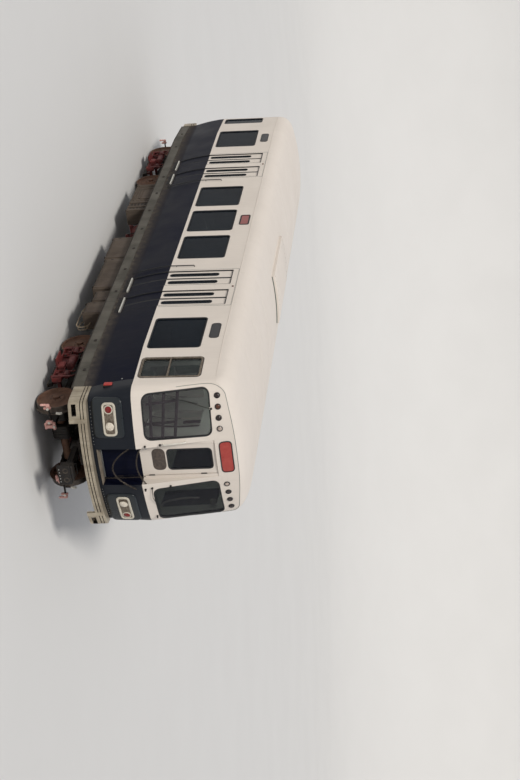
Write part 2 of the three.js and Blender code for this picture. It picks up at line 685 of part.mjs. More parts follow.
// Floor, and the underframe below it: centre sill, bolsters and cross bearers

function floorRing(z) {
  const depth = WALL + 2.5;
  const outline = (plan) => mirrored(FRONT_POINTS.map((i) => frontPoint(i, TREAD_Z, depth, 0, plan).slice(0, 2)));
  const front = outline(FRONT_PLAN);
  const rear = outline(REAR_PLAN).map(([x, y]) => [x, -y]).reverse();
  const sideX = FLOOR_HALF - depth;
  const right = [[sideX, -TAPER_Y], [sideX, TAPER_Y]];
  const left = [[-sideX, TAPER_Y], [-sideX, -TAPER_Y]];
  return [...front, ...right, ...rear, ...left].map(([x, y]) => [x, y, z]);
}

// Beams under the floor, as [half width, low y, high y, low z]
const FLOOR_BEAMS = [
  [160, -3650, 3650, 860], [160, -6640, 6640, 970],
  [850, -2720, -2620, 1000], [850, 550, 650, 1000], [850, 2950, 3050, 1000],
];
const END_BEAMS = [[1150, TRUCK_Y - 260, TRUCK_Y + 260, 960], [230, 6250, 6680, 760]];

function floorSlab() {
  const stepRooms = [
    box(-RECESS_HALF - 45, RECESS_HALF + 45, -7400, STORM_FRONT_Y + 21, BEAM_Z[1], 1200),
    box(-STORM_HALF - 61, STORM_HALF + 61, STORM_REAR_Y - REAR_STEP - 1, REAR_Y + 10, BEAM_Z[1], 1200),
  ];
  return cut(loft([floorRing(FLOOR_UNDER_Z), floorRing(FLOOR_Z)]), stepRooms);
}

function underframe() {
  const top = FLOOR_UNDER_Z - SEAT;
  const beams = FLOOR_BEAMS.map(([x, y0, y1, z]) => box(-x, x, y0, y1, z, top));
  ENDS.forEach(([, end]) => {
    beams.push(...END_BEAMS.map(([x, y0, y1, z]) => box(-x, x, end * y0, end * y1, z, top)));
  });
  return union(beams);
}

addPart('floor', floorSlab(), 'frameSteel');
addPart('underframe', underframe(), 'frameSteel');

// Ribbed end beams with deeper rounded corners

function beamRing(z, forward, depth, plan) {
  const half = FRONT_POINTS.map((i) => frontPoint(i, TREAD_Z, depth, forward, plan).slice(0, 2));
  return mirrored(half).map(([x, y]) => [x, y - SEAT, z]);
}

// The beam's face from its bottom to its top: three ribs and two grooves, as [z, depth]
const BEAM_RIBS = [
  [BEAM_Z[0], -12], [1046, -12], [1053, 4], [1060, -12], [1096, -12], [1103, 4], [1110, -12], [BEAM_Z[1], -12],
];

function endBeam(end) {
  const plan = end < 0 ? FRONT_PLAN : REAR_PLAN;
  const ring = (forward, depth) => (z) => beamRing(z, forward, depth, plan);
  const outer = loft(BEAM_RIBS.map(([z, depth]) => ring(BEAM_FORWARD, depth)(z)));
  const inner = loft([BEAM_Z[0] - 10, BEAM_Z[1] + 10].map(ring(0, WALL)));
  const apronOuter = loft([APRON_Z, BEAM_Z[0] + 20].map(ring(BEAM_FORWARD, -12)));
  const apronInner = loft([APRON_Z - 10, BEAM_Z[0] + 40].map(ring(BEAM_FORWARD, 28)));
  const middle = box(-APRON_X, APRON_X, -7600, -6000, APRON_Z - 20, BEAM_Z[0] + 40);
  const beam = union([cut(outer, [inner]), cut(apronOuter, [apronInner, middle])]);
  return end < 0 ? beam : beam.mirror([0, 1, 0]);
}

addPart('front_end_beam', endBeam(-1), 'bareAluminium');
addPart('rear_end_beam', endBeam(1), 'bareAluminium');

// Cab: partition and desk in the front corner of the near side

function cabPartition() {
  const shape = new THREE.Shape();
  const wallX = -(halfWidth(TREAD_Z) - taper(5780) - WALL - 12);
  [[-360, -6904], [-360, -5740], [wallX, -5740], [wallX, -5780], [-400, -5780], [-400, -6904]].forEach(
    ([x, y], i) => (i ? shape.lineTo(x, y) : shape.moveTo(x, y)),
  );
  const panes = [
    prism(roundedRect(-1150, -500, 2000, 2900, 60), 'y', -5900, -5600),
    prism(roundedRect(-6600, -6000, 2000, 2900, 60), 'x', -500, -300),
  ];
  return cut(prism(shape, 'z', FLOOR_Z + SEAT, 3090), panes);
}

function cabDesk() {
  const block = frontBlock(noseLow, noseHigh, WALL + 1, NOSE_SHARES);
  return block.intersect(box(-1400, -430, -7300, -6640, FLOOR_Z + SEAT, 1890));
}

addPart('cab_partition', cabPartition(), 'innerPanel');
addPart('cab_desk', cabDesk(), 'frameSteel');

// Seats: a row of benches on a long plinth at each side of the middle room

function seatRow(side) {
  const pieces = [box(side * 1140, side * 1250, -2400, 2400, FLOOR_Z + SEAT, 1500)];
  for (let y = -2000; y <= 2000; y += 800) {
    pieces.push(box(side * 390, side * 1240, y - 220, y + 200, 1480, 1600));
    const back = new THREE.Shape();
    [[y + 170, 1560], [y + 230, 1560], [y + 300, 2150], [y + 240, 2150]].forEach(
      ([u, v], i) => (i ? back.lineTo(u, v) : back.moveTo(u, v)),
    );
    const span = [side * 390, side * 1230].sort((a, b) => a - b);
    pieces.push(prism(back, 'x', ...span));
  }
  return union(pieces);
}

SIDES.forEach(([sideName, side]) => addPart(`${sideName}_seats`, seatRow(side), 'seatVinyl'));

// Equipment boxes hung under the floor, as [low y, high y, low z]
const EQUIPMENT = {
  near: [[-1210, -170, 335], [-2600, -1240, 365], [-3180, -2740, 470], [-3700, -3220, 390], [1290, 2795, 330]],
  far: [[-2600, -1500, 350], [-1450, 450, 360], [750, 1450, 420], [1500, 2900, 335], [-3400, -2760, 460]],
};

function equipmentRow(side, rows) {
  const low = Math.min(...rows.map((row) => row[0]));
  const high = Math.max(...rows.map((row) => row[1]));
  const rail = box(side * 960, side * 1060, low + 50, high - 50, 1060, FLOOR_UNDER_Z - SEAT);
  return union([rail, ...rows.map(([y0, y1, z]) => box(side * 870, side * 1225, y0, y1, z, 1090))]);
}

SIDES.forEach(([sideName, side]) => {
  addPart(`${sideName}_equipment`, equipmentRow(side, EQUIPMENT[sideName]), 'boxPaint');
});

// Couplers, swinging on an upright pin under the end of the centre sill

function coupler(end) {
  const y = (value) => end * value;
  const boss = upright(110, 0, y(COUPLER_PIVOT_Y), 600, 760 - SEAT, 24);
  const shank = box(-65, 65, y(COUPLER_PIVOT_Y), y(7180), 620, 735);
  const head = box(-150, 150, y(7150), y(COUPLER_Y - 40), 570, 790);
  const face = box(-185, 185, y(COUPLER_Y - 60), y(COUPLER_Y), 540, 760);
  return union([boss, shank, head, face]);
}

ENDS.forEach(([endName, end]) => addPart(`${endName}_coupler`, coupler(end), 'couplerSteel'));

// Trucks: inside frame with drives and bolster, beams between the wheels, two wheelsets

// Pairs of boxes of a truck, mirrored across its middle, as [low x, high x, low y, high y, low z, high z]
const BOLSTER_BOXES = [[-560, 560, -270, 270, 330, 540], [-780, 780, -150, 150, 640, 850]];
const SIDE_BEAM = [420, 560, -1130, 1130, 300, 480];
const BEARING_BOX = [420, 560, -150, 150, 250, 520];
const GEARBOX = [60, 320, 800, 1160, 220, 550];
const MOTOR = { radius: 160, x: 190, z: 470, reach: [250, 830] };
const SPRING = { radius: 95, x: 490, z: [470, 650] };
const CENTRE_PLATE = { radius: 200, z: [840, 960 - SEAT] };
const BORE_R = AXLE_R + 1;

function truckFrame(middleY) {
  const pieces = BOLSTER_BOXES.map((sizes) => box(...sizes));
  pieces.push(upright(CENTRE_PLATE.radius, 0, 0, ...CENTRE_PLATE.z, 24));
  SIDES.forEach(([, side]) => {
    const [x0, x1, ...rest] = SIDE_BEAM;
    pieces.push(box(side * x0, side * x1, ...rest));
    pieces.push(upright(SPRING.radius, side * SPRING.x, 0, ...SPRING.z, 12));
    ENDS.forEach(([, end]) => {
      const [b0, b1, y0, y1, z0, z1] = BEARING_BOX;
      pieces.push(box(side * b0, side * b1, end * HALF_BASE + y0, end * HALF_BASE + y1, z0, z1));
    });
  });
  ENDS.forEach(([, end]) => {
    const [x0, x1, y0, y1, ...rest] = GEARBOX;
    pieces.push(box(end * x0, end * x1, end * y0, end * y1, ...rest));
    pieces.push(alongY(MOTOR.radius, end * MOTOR.reach[0], end * MOTOR.reach[1], end * MOTOR.x, MOTOR.z, 12));
  });
  const bores = ENDS.map(([, end]) => alongX(BORE_R, -600, 600, end * HALF_BASE, AXLE_Z, WHEEL_SIDES));
  return cut(union(pieces), bores).translate([0, middleY, 0]);
}

// Brake gear, as [low x, high x, low y, high y, low z, high z] at each side
const BRAKE_BOXES = [
  [900, 980, -600, 600, 225, 400],      // side bar outside the wheels
  [970, 1130, -170, 170, 210, 250],     // step beside it
  [715, 785, -430, 430, 75, 165],       // track brake over the rail
];
const BRAKE_HANGER = [725, 775, 305, 355, 150, 250];
const BRAKE_CROSS = [-960, 960, 300, 360, 235, 300 - SEAT];

function brakeGear(middleY) {
  const turned = ([x0, x1, y0, y1, ...rest], side, end) => box(side * x0, side * x1, end * y0, end * y1, ...rest);
  const pieces = ENDS.map(([, end]) => turned(BRAKE_CROSS, 1, end));
  SIDES.forEach(([, side]) => {
    pieces.push(...BRAKE_BOXES.map((sizes) => turned(sizes, side, 1)));
    pieces.push(...ENDS.map(([, end]) => turned(BRAKE_HANGER, side, end)));
  });
  return union(pieces).translate([0, middleY, 0]);
}

// Half profile of a wheelset from the axle's end to its middle, as [radius, distance from the middle]
const WHEEL_PROFILE = [
  [0, 850], [62, 850], [62, WHEEL_FACE], [140, WHEEL_FACE - 8], [295, 778], [318, WHEEL_FACE],
  [WHEEL_R - 6, WHEEL_FACE], [WHEEL_R, 713], [FLANGE_R, 701], [FLANGE_R - 6, WHEEL_BACK],
  [318, WHEEL_BACK], [295, 722], [110, WHEEL_BACK], [AXLE_R, 620],
];
function wheelset(y) {
  const far = WHEEL_PROFILE.map(([r, x]) => new THREE.Vector2(r, x));
  const near = WHEEL_PROFILE.map(([r, x]) => new THREE.Vector2(r, -x)).reverse();
  const geometry = new THREE.LatheGeometry([...far, ...near], WHEEL_SIDES);
  geometry.rotateZ(Math.PI / 2);
  geometry.translate(0, y, AXLE_Z);
  return toSolid(geometry);
}

ENDS.forEach(([endName, end]) => {
  const middleY = end * TRUCK_Y;
  addPart(`${endName}_truck_frame`, truckFrame(middleY), 'frameSteel');
  addPart(`${endName}_truck_brake_gear`, brakeGear(middleY), 'redPaint');
  addPart(`${endName}_truck_outer_wheelset`, wheelset(middleY + end * HALF_BASE), 'wheelSteel');
  addPart(`${endName}_truck_inner_wheelset`, wheelset(middleY - end * HALF_BASE), 'wheelSteel');
});

export default car;
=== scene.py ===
# Subway car: its looks in Blender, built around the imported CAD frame.
# Metres, +Z up, z = 0 at the lowest point of the wheel flanges. The front faces -Y and the near side is -X.
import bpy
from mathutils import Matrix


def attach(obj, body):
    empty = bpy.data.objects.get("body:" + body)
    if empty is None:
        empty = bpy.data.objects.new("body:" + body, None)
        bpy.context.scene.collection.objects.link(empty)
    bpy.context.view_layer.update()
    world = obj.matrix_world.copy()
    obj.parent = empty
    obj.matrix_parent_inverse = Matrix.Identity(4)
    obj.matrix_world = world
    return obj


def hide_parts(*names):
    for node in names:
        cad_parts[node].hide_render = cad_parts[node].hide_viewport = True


bl_info = {
    "name": "Subway car looks",
    "version": (1, 0, 0),
    "blender": (4, 5, 0),
    "location": "3D View > Sidebar > Subway car",
    "description": "Builds the visible pieces of one subway car around its CAD frame",
    "category": "Object",
}

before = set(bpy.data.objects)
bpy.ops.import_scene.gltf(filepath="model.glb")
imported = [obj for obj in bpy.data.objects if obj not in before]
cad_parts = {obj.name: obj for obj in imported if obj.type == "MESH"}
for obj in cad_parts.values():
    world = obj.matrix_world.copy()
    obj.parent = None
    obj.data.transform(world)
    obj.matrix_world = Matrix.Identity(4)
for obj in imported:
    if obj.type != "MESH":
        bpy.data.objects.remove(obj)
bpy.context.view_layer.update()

import math
from functools import partial

import bpy
from mathutils import Matrix, Vector

# Body form, repeated from the part's source in metres
SILL, BEAM_TOP, TREAD, BELT, DOOR_TOP, EAVE, ROOF = 0.8, 1.155, 1.177, 1.898, 3.144, 3.28, 3.715
FLOOR, SILL_TOP, UNDER_FLOOR = 1.17, 1.01, 1.1197
BELT_HALF, FLOOR_HALF, UPPER_LEAN, SIDE_CURVE = 1.4224, 1.309, 0.026, 1.6
WALL = 0.05
TAPER_FROM, TAPER_IN, TAPER_RUN = 5.49, 0.087, 1.166
FRONT_JOINT, REAR_JOINT, REAR_WALL, ROOF_FRONT = 6.535, 6.775, 6.87, 5.95
FACE, FACE_CURVE, LEAN_UP, LEAN_DOWN, FACE_HALF = 7.197, 0.161, 0.155, 0.057, 1.17
BROW = [3.28, 3.287, 3.312, 3.368, 3.432, 3.48, 3.519, 3.541, 3.547]
RECESS_HALF, ROOF_CROWN, LAMP_PANEL_LIFT = 0.356, 0.1, 0.03
DOORWAY, DOORWAY_HALF, POST_HALF = 3.21, 0.735, 0.12
LEAF_INSET, LEAF_THICK, LEAF_GAP, LEAF_WIDTH, DOOR_GAP = 0.018, 0.03, 0.018, 0.2605, 0.006
LEAF_PIVOT = (1.291, 0.03, 0.012)
LEAF_WINDOW = (0.06, 1.945, 2.885, 0.058)
STORM_HALF, STORM_THICK, STORM_TOP, STORM_FRONT, STORM_REAR = 0.3, 0.04, 3.19, 6.925, 6.815
STORM_WINDOW = (-0.198, 0.198, 2.36, 3.12, 0.075)
TRUCK, HALF_BASE, AXLE_Z = 5.131, 0.9905, 0.3805
COUPLER_PIVOT, COUPLER_END, APRON = 6.45, 7.355, 0.85
SIDES = (("near", -1), ("far", 1))
ENDS = (("front", -1), ("rear", 1))
WINDOW_Z, CAB_WINDOW_Z = (1.975, 2.9), (1.975, 2.992)
MIDDLE_WINDOWS = [(-1.885, -0.805), (-0.54, 0.54), (0.805, 1.885)]
END_ROOM_WINDOWS = [(-5.585, -4.475), (4.475, 5.585)]
CAB_WINDOW, REAR_SLIT = (-6.48, -5.915), (6.33, 6.74)
WINDSHIELD = [(0.492, 2.068), (1.246, 2.068), (1.247, 3.174), (0.448, 3.174)]

# Finishes that several pieces share
BODY_PAINT = "enamel_sprayed_body"
ROOF_PAINT = "enamel_weathered_roof"
# The nose's enamel is a lit copy of the body's lower enamel: painted light.
NOSE_PAINT = "enamel_sprayed_nose"
LINING = "laminate_pressed_green"
CEILING = "laminate_pressed_white"
BARE = "aluminium_extruded_weathered"
TRIM = "aluminium_drawn_trim"
SPUN = "aluminium_spun_reflector"
REVEAL = "enamel_brushed_reveal"
RUBBER = "rubber_extruded_black"
WELDED = "steel_welded_grimy"
CAST = "steel_cast_dark"
RED = "enamel_brushed_red"
BOX = "enamel_dusty_box"
WHITE = "enamel_dipped_white"
PLATE = "enamel_fired_plate"
CHROME = "steel_chromed_tube"
TINTED = "glass_float_tinted"
VINYL = "vinyl_embossed_green"
CREAM = "enamel_diecast_cream"
STEP = "aluminium_worn_step"


# Form

def mix(a, b, share):
    return a + (b - a) * share


def steps(a, b, count):
    """Values from a to b in equal steps, with both ends."""
    return [mix(a, b, k / count) for k in range(count + 1)]


def bend(a, b, c, u):
    """The curve from a to c that b draws towards itself, at the share u."""
    return (1 - u) ** 2 * a + 2 * u * (1 - u) * b + u * u * c


def angles(count):
    """The angles of a full turn."""
    return [math.tau * k / count for k in range(count)]


def half_width(z):
    """Half the body's width at a height, before it tapers towards its ends."""
    if z <= TREAD:
        return FLOOR_HALF
    if z < BELT:
        return BELT_HALF - (BELT_HALF - FLOOR_HALF) * ((BELT - z) / (BELT - TREAD)) ** SIDE_CURVE
    return BELT_HALF - UPPER_LEAN * (z - BELT)


def taper(y):
    return TAPER_IN * max(0.0, abs(y) - TAPER_FROM) / TAPER_RUN


def side_surface(side, inset=0.0):
    """The body side as a surface of y and z."""
    return lambda y, z: Vector((side * (half_width(z) - taper(y) - inset), y, z))


def face_y(x, z):
    lean = LEAN_UP * (z - BELT) if z > BELT else LEAN_DOWN * (BELT - z)
    return -FACE + FACE_CURVE * x * x + lean


def rear_face_y(x, z):
    return -REAR_WALL


def corner_start(corner, z, joint):
    """Where an end's corner curve leaves the side, before the corner that it cuts off."""
    return corner + min(mix(0.2, 0.13, max(0.0, (z - BELT) / 1.5)), -joint - 0.01 - corner)


def end_point(t, z, depth=0.0, forward=0.0, face=face_y, joint=FRONT_JOINT):
    """A point of an end's plan at height z, from the side at t = 0 round the corner (1 to 4) to the centre at 8."""
    side_x, face_x = half_width(z) - taper(joint) - depth, FACE_HALF - depth
    if t <= 0:
        return Vector((side_x, -joint, z))
    front = lambda x: face(x, z) - forward + depth
    corner = front(side_x)
    start = corner_start(corner, z, joint)
    if t < 1:
        return Vector((side_x, mix(-joint, start, t), z))
    if t <= 4:
        u = (t - 1) / 3
        return Vector((bend(side_x, side_x, face_x, u), bend(start, corner, front(face_x), u), z))
    x = mix(face_x, 0.0, (t - 4) / 4)
    return Vector((x, front(x), z))


def front_surface(x, z):
    """The front face and its corners as a surface of x and z."""
    side_x, reach = half_width(z) - taper(FRONT_JOINT), abs(x)
    if reach <= FACE_HALF:
        return Vector((x, face_y(x, z), z))
    corner = face_y(side_x, z)
    u = math.sqrt(max(0.0, (side_x - reach) / (side_x - FACE_HALF)))
    return Vector((x, bend(corner_start(corner, z, FRONT_JOINT), corner, face_y(FACE_HALF, z), u), z))


def brow(t):
    """Height of the line where the front meets its dome, at plan position t."""
    i = min(int(t), 7)
    a, b, c, d = BROW[max(i - 1, 0)], BROW[i], BROW[i + 1], BROW[min(i + 2, 8)]
    u = t - i
    return b + 0.5 * u * (c - a + u * (2 * a - 5 * b + 4 * c - d + u * (3 * (b - c) + d - a)))


def roof_at(t, y, depth=0.0):
    """The roof's section at the same plan positions as the ends use: 0 at the eave, 4 at the shoulder, 8 the centre."""
    eave_x = half_width(EAVE) - taper(y) - depth
    shoulder = 1.05 - taper(y) - depth / 2
    rise = lambda x: ROOF - depth - ROOF_CROWN * x * x
    if t <= 4:
        knee = rise(shoulder) - 0.2 * shoulder * (eave_x - shoulder)
        return Vector((bend(eave_x, eave_x, shoulder, t / 4), y, bend(EAVE, knee, rise(shoulder), t / 4)))
    x = mix(shoulder, 0.0, (t - 4) / 4)
    return Vector((x, y, rise(x)))


def roof_section(y, depth=0.0):
    """Half of the roof from the eave to the centre."""
    return [roof_at(t, y, depth) for t in steps(0, 8, 20)]


def both_sides(half):
    """Points or columns of points from the side to the centre, carried on to the other side."""
    flip = lambda p: Vector((-p[0], p[1], p[2])) if isinstance(p[0], float) else [flip(q) for q in p]
    return [flip(p) for p in half] + half[:-1][::-1]


def lifted(surface, u, v, lift=0.0):
    """A point of a surface, raised outwards by lift."""
    step = 0.001
    point = surface(u, v)
    across = surface(u + step, v) - surface(u - step, v)
    normal = across.cross(surface(u, v + step) - surface(u, v - step)).normalized()
    core = Vector((0.0, max(-5.5, min(5.5, point.y)), 2.2))
    return point + normal * (lift if normal.dot(point - core) > 0 else -lift)


def footing(surface, u, v):
    """A point of a surface and the way out from it, to stand a turned part on."""
    point = lifted(surface, u, v)
    return point, lifted(surface, u, v, 1.0) - point


def rounded(corners, radius, count=8):
    """An outline with straight sides and round corners."""
    outline = []
    for i, here in enumerate(corners):
        here = Vector(here)
        ends = [here + (Vector(other) - here).normalized() * radius
                for other in (corners[i - 1], corners[(i + 1) % len(corners)])]
        outline += [bend(ends[0], here, ends[1], u) for u in steps(0, 1, count)]
    return outline


def rounded_box(u0, u1, v0, v1, radius, count=8):
    return rounded([(u0, v0), (u1, v0), (u1, v1), (u0, v1)], radius, count)


def dense(outline, step=0.06):
    """A closed outline with its long straight runs divided, so that it can follow a curved surface."""
    points = []
    for i, here in enumerate(outline):
        after = outline[(i + 1) % len(outline)]
        parts = max(1, math.ceil((after - here).length / step))
        points += [here.lerp(after, k / parts) for k in range(parts)]
    return points


def circle(u, v, radius, count=24):
    return [Vector((u + radius * math.cos(a), v + radius * math.sin(a))) for a in angles(count)]


def spread(outline, distance, closed=True):
    """An outline moved outwards by a distance, with mitred corners. An open one moves to its right."""
    count = len(outline)
    area = sum(outline[i - 1][0] * outline[i][1] - outline[i][0] * outline[i - 1][1] for i in range(count))
    way = -1.0 if closed and area < 0 else 1.0
    moved = []
    for i, here in enumerate(outline):
        before = outline[i - 1] if closed or i > 0 else here
        after = outline[(i + 1) % count] if closed or i < count - 1 else here
        normals = []
        for a, b in ((before, here), (here, after)):
            edge = Vector((b[0] - a[0], b[1] - a[1]))
            if edge.length > 1e-7:
                normals.append(Vector((edge.y, -edge.x)).normalized() * way)
        normal = sum(normals, Vector((0.0, 0.0))).normalized()
        moved.append(Vector((here[0], here[1])) + normal * distance / max(0.35, normal.dot(normals[0])))
    return moved


# Pieces

def linked(name, data):
    """A new object in the scene."""
    obj = bpy.data.objects.new(name, data)
    bpy.context.scene.collection.objects.link(obj)
    return obj


class Piece:
    """Gathers closed solids, each with its finish, and makes one object of them."""

    def __init__(self):
        self.points = []
        self.faces = []
        self.marks = []
        self.finishes = []

    def mark(self, finish):
        if finish not in self.finishes:
            self.finishes.append(finish)
        return self.finishes.index(finish)

    def solid(self, points, faces, finish):
        """Adds one closed solid. finish is one name, or one for each face."""
        volume = 0.0
        for face in faces:
            a = points[face[0]]
            for b, c in zip(face[1:-1], face[2:]):
                volume += a[0] * (points[b][1] * points[c][2] - points[b][2] * points[c][1])
                volume += a[1] * (points[b][2] * points[c][0] - points[b][0] * points[c][2])
                volume += a[2] * (points[b][0] * points[c][1] - points[b][1] * points[c][0])
        start = len(self.points)
        self.points += [tuple(p) for p in points]
        self.faces += [[start + i for i in (face if volume > 0 else face[::-1])] for face in faces]
        names = [finish] * len(faces) if isinstance(finish, str) else finish
        self.marks += [self.mark(name) for name in names]

    def skin(self, rows, finish, loop=False, bands=None):
        """A skin through rings of points. Its ends are capped, or joined to each other in a loop.
        finish is one name, or one for each step between rings; bands instead names one for each point of a ring."""
        count, width = len(rows), len(rows[0])
        faces, names = [], []
        for r in range(count if loop else count - 1):
            below, above = r * width, ((r + 1) % count) * width
            for k in range(width):
                after = (k + 1) % width
                faces.append([below + k, below + after, above + after, above + k])
            names += bands or [finish if isinstance(finish, str) else finish[r]] * width
        if not loop:
            faces += [list(range(width))[::-1], [(count - 1) * width + k for k in range(width)]]
            names += [names[0], names[-1]]
        self.solid([p for row in rows for p in row], faces, names)

    def plate(self, outer, inner, finish, inner_finish, edge_finish):
        """A curved plate between two grids of points. A finish is one name, or for the two grids one for each row."""
        columns, rows = len(outer), len(outer[0])
        named = lambda finish, row: finish if isinstance(finish, str) else finish[row]
        faces, names = [], []

        def add(name, *corners):
            faces.append([(layer * columns + i) * rows + j for layer, i, j in corners])
            names.append(name)

        for i in range(columns - 1):
            for j in range(rows - 1):
                add(named(finish, j), (0, i, j), (0, i + 1, j), (0, i + 1, j + 1), (0, i, j + 1))
                add(named(inner_finish, j), (1, i, j), (1, i, j + 1), (1, i + 1, j + 1), (1, i + 1, j))
            for j, (p, q) in ((0, (i, i + 1)), (rows - 1, (i + 1, i))):
                add(edge_finish, (0, p, j), (1, p, j), (1, q, j), (0, q, j))
        for j in range(rows - 1):
            for i, (p, q) in ((0, (j + 1, j)), (columns - 1, (j, j + 1))):
                add(edge_finish, (0, i, p), (1, i, p), (1, i, q), (0, i, q))
        self.solid([p for grid in (outer, inner) for column in grid for p in column], faces, names)

    def block(self, low, high, finish, bevel=0.004, turn=None):
        """A box with bevelled edges, which the matrix turn may place."""
        low, high = [min(p) for p in zip(low, high)], [max(p) for p in zip(low, high)]
        bevel = min(bevel, 0.4 * min(h - l for l, h in zip(low, high)))
        middle = Vector([(l + h) / 2 for l, h in zip(low, high)])
        points = []
        for corner in range(8):
            signs = [1 if corner >> k & 1 else -1 for k in range(3)]
            for axis in range(3):
                points.append(Vector([
                    (high if signs[k] > 0 else low)[k] - (0 if k == axis else signs[k] * bevel) for k in range(3)
                ]))
        faces = []
        for axis in range(3):
            a, b = (axis + 1) % 3, (axis + 2) % 3
            for high_side in (0, 1):
                ring = [high_side << axis | p << a | q << b for p, q in ((0, 0), (1, 0), (1, 1), (0, 1))]
                faces.append([3 * c + axis for c in ring])
            for p, q in ((0, 0), (1, 0), (1, 1), (0, 1)):
                c0 = p << a | q << b
                c1 = c0 | 1 << axis
                faces.append([3 * c0 + a, 3 * c1 + a, 3 * c1 + b, 3 * c0 + b])
        faces += [[3 * c, 3 * c + 1, 3 * c + 2] for c in range(8)]
        for face in faces:
            normal = (points[face[1]] - points[face[0]]).cross(points[face[2]] - points[face[0]])
            if normal.dot(sum((points[i] for i in face), Vector()) / len(face) - middle) < 0:
                face.reverse()
        if turn is not None:
            points = [turn @ p for p in points]
        self.solid(points, faces, finish)

    def tube(self, path, radius, finish, sides=10, loop=False):
        """A round bar along a path."""
        path = [Vector(p) for p in path]
        count = len(path)
        rows, normal = [], None
        for i, point in enumerate(path):
            ahead = path[(i + 1) % count] if loop or i < count - 1 else point
            behind = path[i - 1] if loop or i > 0 else point
            tangent = (ahead - behind).normalized()
            normal = tangent.orthogonal() if normal is None else normal - tangent * normal.dot(tangent)
            normal.normalize()
            other = tangent.cross(normal)
            rows.append([point + (normal * math.cos(a) + other * math.sin(a)) * radius for a in angles(sides)])
        self.skin(rows, finish, loop)

    def lathe(self, profile, centre, axis, finish, sides=32, loop=False):
        """Turns a profile of radius and distance about an axis through the centre."""
        axis = Vector(axis).normalized()
        first = axis.orthogonal().normalized()
        second = axis.cross(first)
        spokes = [first * math.cos(a) + second * math.sin(a) for a in angles(sides)]
        self.skin([[Vector(centre) + axis * along + spoke * max(radius, 0.0003) for spoke in spokes]
                   for radius, along in profile], finish, loop)

    def prism(self, outline, axis, low, high, finish, bevel=0.003):
        """An outline in the other two axes, run along one axis, with bevelled ends."""
        at = "xyz".index(axis)
        low, high = min(low, high), max(low, high)
        inset = spread(outline, -bevel)
        self.skin([[Vector((*p[:at], w, *p[at:])) for p in ring] for ring, w in
                   ((inset, low), (outline, low + bevel), (outline, high - bevel), (inset, high))], finish)

    def moulding(self, outline, profile, surface, finish, closed=True):
        """Runs a profile, as a loop of offsets from the outline and lifts off the surface, along an outline."""
        rings = [spread(outline, offset, closed) for offset, _ in profile]
        self.skin([[lifted(surface, *ring[i], lift) for ring, (_, lift) in zip(rings, profile)]
                   for i in range(len(outline))], finish, loop=closed)

    def pad(self, outline, edge, surface, finish, rings=3, back=-0.008):
        """A raised plate that follows a surface. edge is its profile from the rim inwards, as insets and lifts."""
        rows = [[lifted(surface, *p, back) for p in outline]]
        for inset, lift in edge:
            ring = spread(outline, -inset)
            rows.append([lifted(surface, *p, lift) for p in ring])
        centre = sum(ring, Vector((0.0, 0.0))) / len(ring)
        for k in range(1, rings + 1):
            share = 1 - k / (rings + 0.05)
            rows.append([lifted(surface, *(centre + (p - centre) * share), lift) for p in ring])
        self.skin(rows, finish)

    def object(self, name):
        mesh = bpy.data.meshes.new(name)
        mesh.from_pydata(self.points, [], self.faces)
        for finish in self.finishes:
            mesh.materials.append(material(finish))
        mesh.polygons.foreach_set("material_index", self.marks)
        mesh.polygons.foreach_set("use_smooth", [True] * len(self.faces))
        mesh.update()
        return linked(name, mesh)

    def carve(self, tool):
        """Cuts another piece's solids out of this one."""
        tool.marks = [self.mark(tool.finishes[mark]) for mark in tool.marks]
        tool.finishes = self.finishes
        body, cutter = self.object("uncut"), tool.object("cutter")
        cut = body.modifiers.new("cut", "BOOLEAN")
        cut.operation, cut.solver, cut.object = "DIFFERENCE", "EXACT", cutter
        result = bpy.data.meshes.new_from_object(body.evaluated_get(bpy.context.evaluated_depsgraph_get()))
        self.points = [tuple(v.co) for v in result.vertices]
        self.faces = [list(p.vertices) for p in result.polygons]
        self.marks = [p.material_index for p in result.polygons]
        for obj in (body, cutter):
            bpy.data.objects.remove(obj)

    def make(self, name, slot, replaces=(), body="car_body", sharp=32, even=False):
        """Makes the object, which rides on a body. slot is not used."""
        obj = self.object(name)
        obj.data.set_sharp_from_angle(angle=math.radians(sharp))
        if even:
            weighted = obj.modifiers.new("even shading", "WEIGHTED_NORMAL")
            weighted.keep_sharp = True
        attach(obj, body)
        if replaces:
            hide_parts(*replaces)
        return obj


# Materials

def linear(code):
    """An sRGB hex colour as linear red, green, blue and alpha."""
    parts = [int(code[k:k + 2], 16) / 255 for k in (0, 2, 4)]
    return (*[c / 12.92 if c <= 0.04045 else ((c + 0.055) / 1.055) ** 2.4 for c in parts], 1.0)


def add_node(tree, kind, inputs=None, **settings):
    """Adds one node with its settings. Each of its inputs takes a value or another node's output."""
    node = tree.nodes.new(kind)
    for name, value in settings.items():
        setattr(node, name, value)
    for socket, value in (inputs or {}).items():
        if isinstance(value, bpy.types.NodeSocket):
            tree.links.new(value, node.inputs[socket])
        else:
            node.inputs[socket].default_value = value
    return node


def tone(colour):
    """A recipe's colour, linear: sRGB hex, or a colour of the panel's with the factor that darkens or lightens it."""
    if isinstance(colour, str):
        return linear(colour)
    name, factor = colour
    return (*[c * factor for c in getattr(bpy.context.scene.car_looks, name)], 1.0)


# Size of the patches in which dust gathers
DUST_CLOUD_MM = 130


